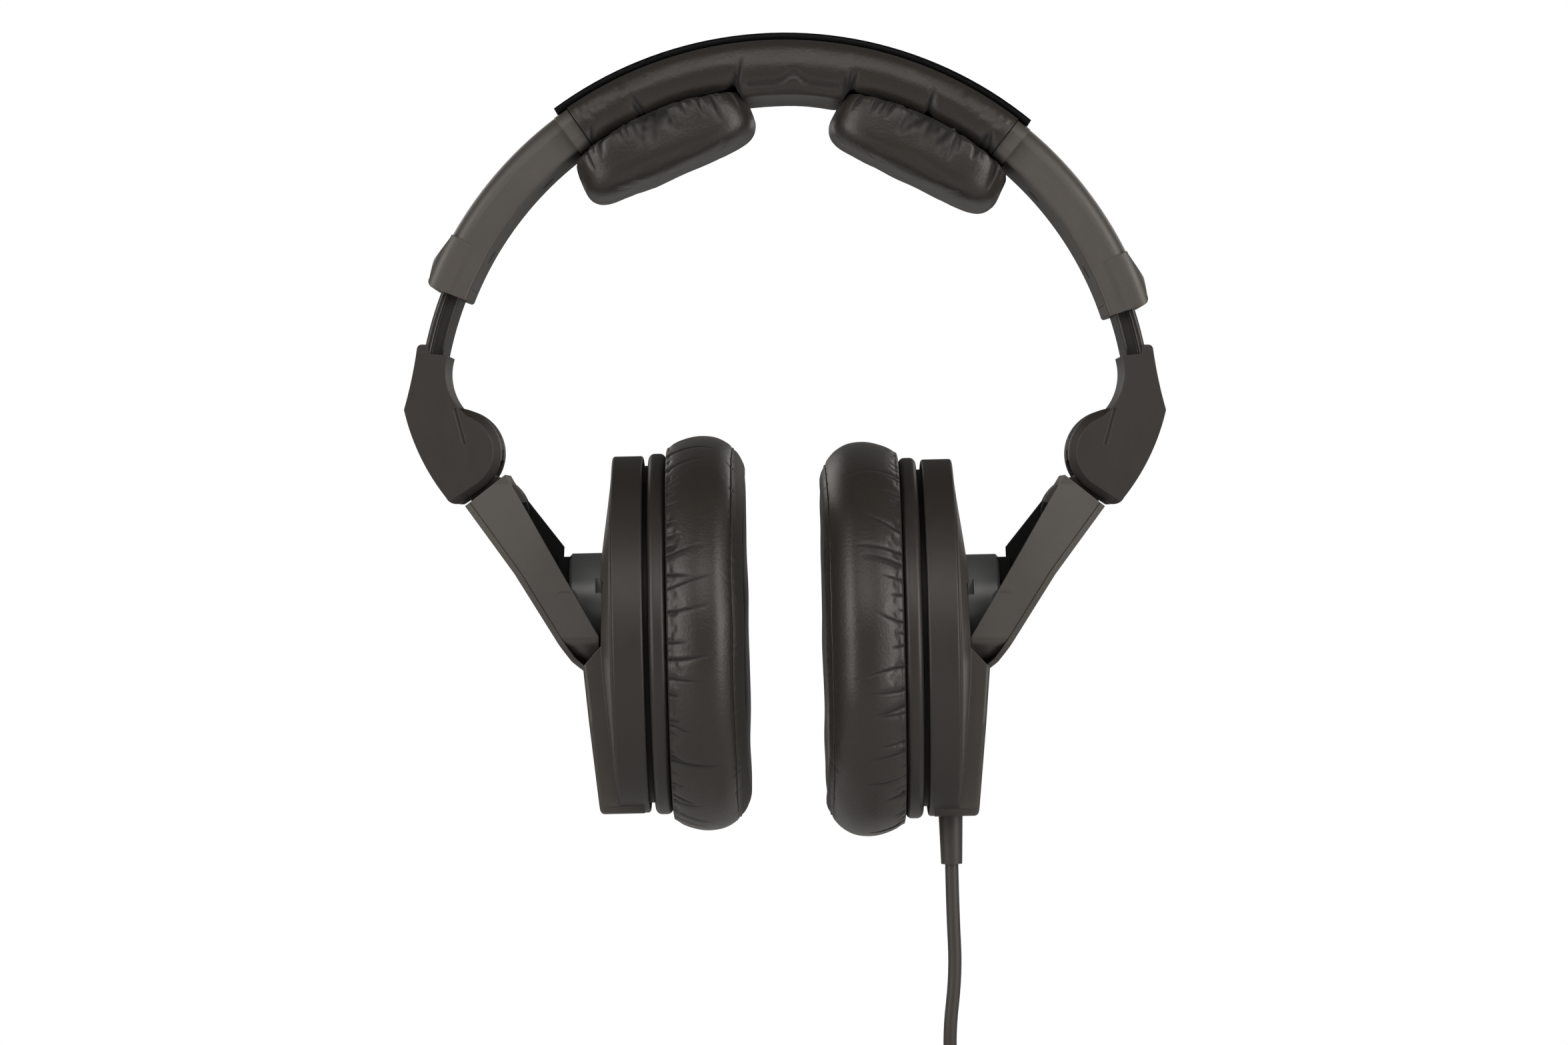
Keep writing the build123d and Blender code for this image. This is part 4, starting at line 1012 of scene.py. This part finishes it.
def plain_name(node):
    """A node's name without its side."""
    for side in SIDES:
        if node.startswith(f"{side}_"):
            return node[len(side) + 1:]
    return node


def dress(piece, material):
    """Gives a piece one material."""
    piece.data.materials.clear()
    piece.data.materials.append(material)


def dress_some(piece, material, chosen):
    """Gives a second material to the faces whose centre, in millimetres, is chosen."""
    piece.data.materials.append(material)
    for face in piece.data.polygons:
        if chosen(face.center / MM):
            face.material_index = 1


def on_oval_band(centre, side):
    """Whether a spot of a cup shell lies on its flat oval band."""
    pivot_x, _, pivot_z = TILT[side]
    x, z = centre.x - pivot_x, centre.z - pivot_z
    upright = pivot_x + x * cos(CUP_LEAN) - z * sin(CUP_LEAN)
    return abs(upright) < BAND_OUT_X


def in_arm_hollow(centre, side):
    """Whether a spot of a yoke arm lies between its flanges, away from the hinge's knuckle: there black
    is painted as shade.
    """
    hinge_x, _, hinge_z = [value / MM for value in joints[f"{side}_fold"]["pos_m"]]
    from_hinge = sqrt((centre.x - hinge_x) ** 2 + (centre.z - hinge_z) ** 2)
    share = (hinge_z - HOLLOW_DROP - centre.z) / HOLLOW_RUN
    inner_face = HOLLOW_HALF + HOLLOW_GROWTH * min(max(share, 0), 1)
    toe_z = TOE_MIDDLE_Z + TOE_R - sqrt(TOE_R**2 - min(abs(centre.y), TOE_HALF) ** 2)
    inside = abs(centre.y) < inner_face + HOLLOW_MARGIN and centre.z > toe_z + TOE_THICK
    return inside and from_hinge > HINGE_ZONE


def on_stop_lugs(centre):
    """Whether a spot of a swivel post lies on its two lugs, deep in the arm: there black is painted as
    shade.
    """
    return abs(centre.x) > LUG_START_X and centre.z > TILT["left"][2] + LUG_RISE


# ---------------------------------------------------------------- studio

def make_light(name, place, size, power):
    """A warm rectangular soft light that points at the headphones."""
    light = bpy.data.lights.new(name, "AREA")
    light.shape = "RECTANGLE"
    light.size, light.size_y = size
    light.energy = power
    light.color = WARM
    lamp = bpy.data.objects.new(name, light)
    bpy.context.scene.collection.objects.link(lamp)
    lamp.location = place
    aim = Vector(LIGHT_TARGET) - Vector(place)
    lamp.rotation_euler = aim.to_track_quat("-Z", "Y").to_euler()


def make_world():
    """White surroundings to look at, dimmer as a source of light."""
    world = bpy.data.worlds.new("studio")
    bpy.context.scene.world = world
    world.use_nodes = True
    tree = world.node_tree
    tree.nodes.clear()
    output = tree.nodes.new("ShaderNodeOutputWorld")
    seen = tree.nodes.new("ShaderNodeBackground")
    seen.inputs["Color"].default_value = (1, 1, 1, 1)
    seen.inputs["Strength"].default_value = 1.0
    fill = tree.nodes.new("ShaderNodeBackground")
    fill.inputs["Color"].default_value = (1, 1, 1, 1)
    fill.inputs["Strength"].default_value = SURROUNDINGS_GLOW
    path = tree.nodes.new("ShaderNodeLightPath")
    mix = tree.nodes.new("ShaderNodeMixShader")
    tree.links.new(path.outputs["Is Camera Ray"], mix.inputs["Fac"])
    tree.links.new(fill.outputs["Background"], mix.inputs[1])
    tree.links.new(seen.outputs["Background"], mix.inputs[2])
    tree.links.new(mix.outputs["Shader"], output.inputs["Surface"])


def make_floor():
    """Pale round floor under the hanging headphones."""
    bpy.ops.mesh.primitive_circle_add(vertices=96, radius=FLOOR_RADIUS, fill_type="NGON",
                                      location=(0, 0, FLOOR_Z))
    floor = bpy.context.object
    floor.name = "floor"
    material, tree, shader = new_material("pale_floor")
    tone = noise(tree, coordinates(tree), 60, 2)
    tree.links.new(mixed_colour(tree, tone, (0.74, 0.74, 0.74), (0.78, 0.78, 0.78)),
                   shader.inputs["Base Color"])
    shader.inputs["Roughness"].default_value = 0.8
    dress(floor, material)


def make_camera():
    """Level camera in front, at the height of the picture's middle."""
    data = bpy.data.cameras.new("camera")
    data.sensor_width = SENSOR
    data.lens = SENSOR * CAMERA_DISTANCE / PICTURE_WIDTH
    data.clip_end = 50
    camera = bpy.data.objects.new("camera", data)
    bpy.context.scene.collection.objects.link(camera)
    camera.location = (PICTURE_MIDDLE[0], -CAMERA_DISTANCE, PICTURE_MIDDLE[1])
    camera.rotation_euler = (pi / 2, 0, 0)
    bpy.context.scene.camera = camera


def make_studio():
    """Camera, white surroundings, floor and lights."""
    bpy.context.scene.view_settings.view_transform = "Standard"
    make_camera()
    make_world()
    make_floor()
    for light in LIGHTS:
        make_light(*light)


# ---------------------------------------------------------------- everything together

def dress_hard_parts(materials):
    """Gives every CAD part its material, each cup shell's band its second, and black as painted shade
    to each arm's hollow and each post's lugs.
    """
    nodes = frame["nodes"]
    for node, piece in nodes.items():
        dress(piece, materials[NODE_MATERIALS[plain_name(node)]])
    for side in SIDES:
        cup, arm = nodes[f"{side}_cup_shell"], nodes[f"{side}_yoke_arm"]
        dress_some(cup, materials["band"], lambda spot: on_oval_band(spot, side))
        # black on the arm's hollow and on the post's lugs is painted shade
        dress_some(arm, materials["black"], lambda spot: in_arm_hollow(spot, side))
        dress_some(nodes[f"{side}_swivel_post"], materials["black"], on_stop_lugs)


def main():
    """The studio, then every part with its looks."""
    make_studio()
    materials = make_materials()
    dress_hard_parts(materials)
    dress(make_cord(), materials["jacket"])
    for side, seed in SEEDS.items():
        for piece in make_ear_cushion(side, seed):
            dress(piece, materials["leatherette"])
        dress(make_crown_pad(side, seed + PAD_SEED_STEP), materials["leatherette"])
    dress(make_sleeve(SLEEVE_SEED), materials["leatherette"])


main()
bpy.context.view_layer.update()
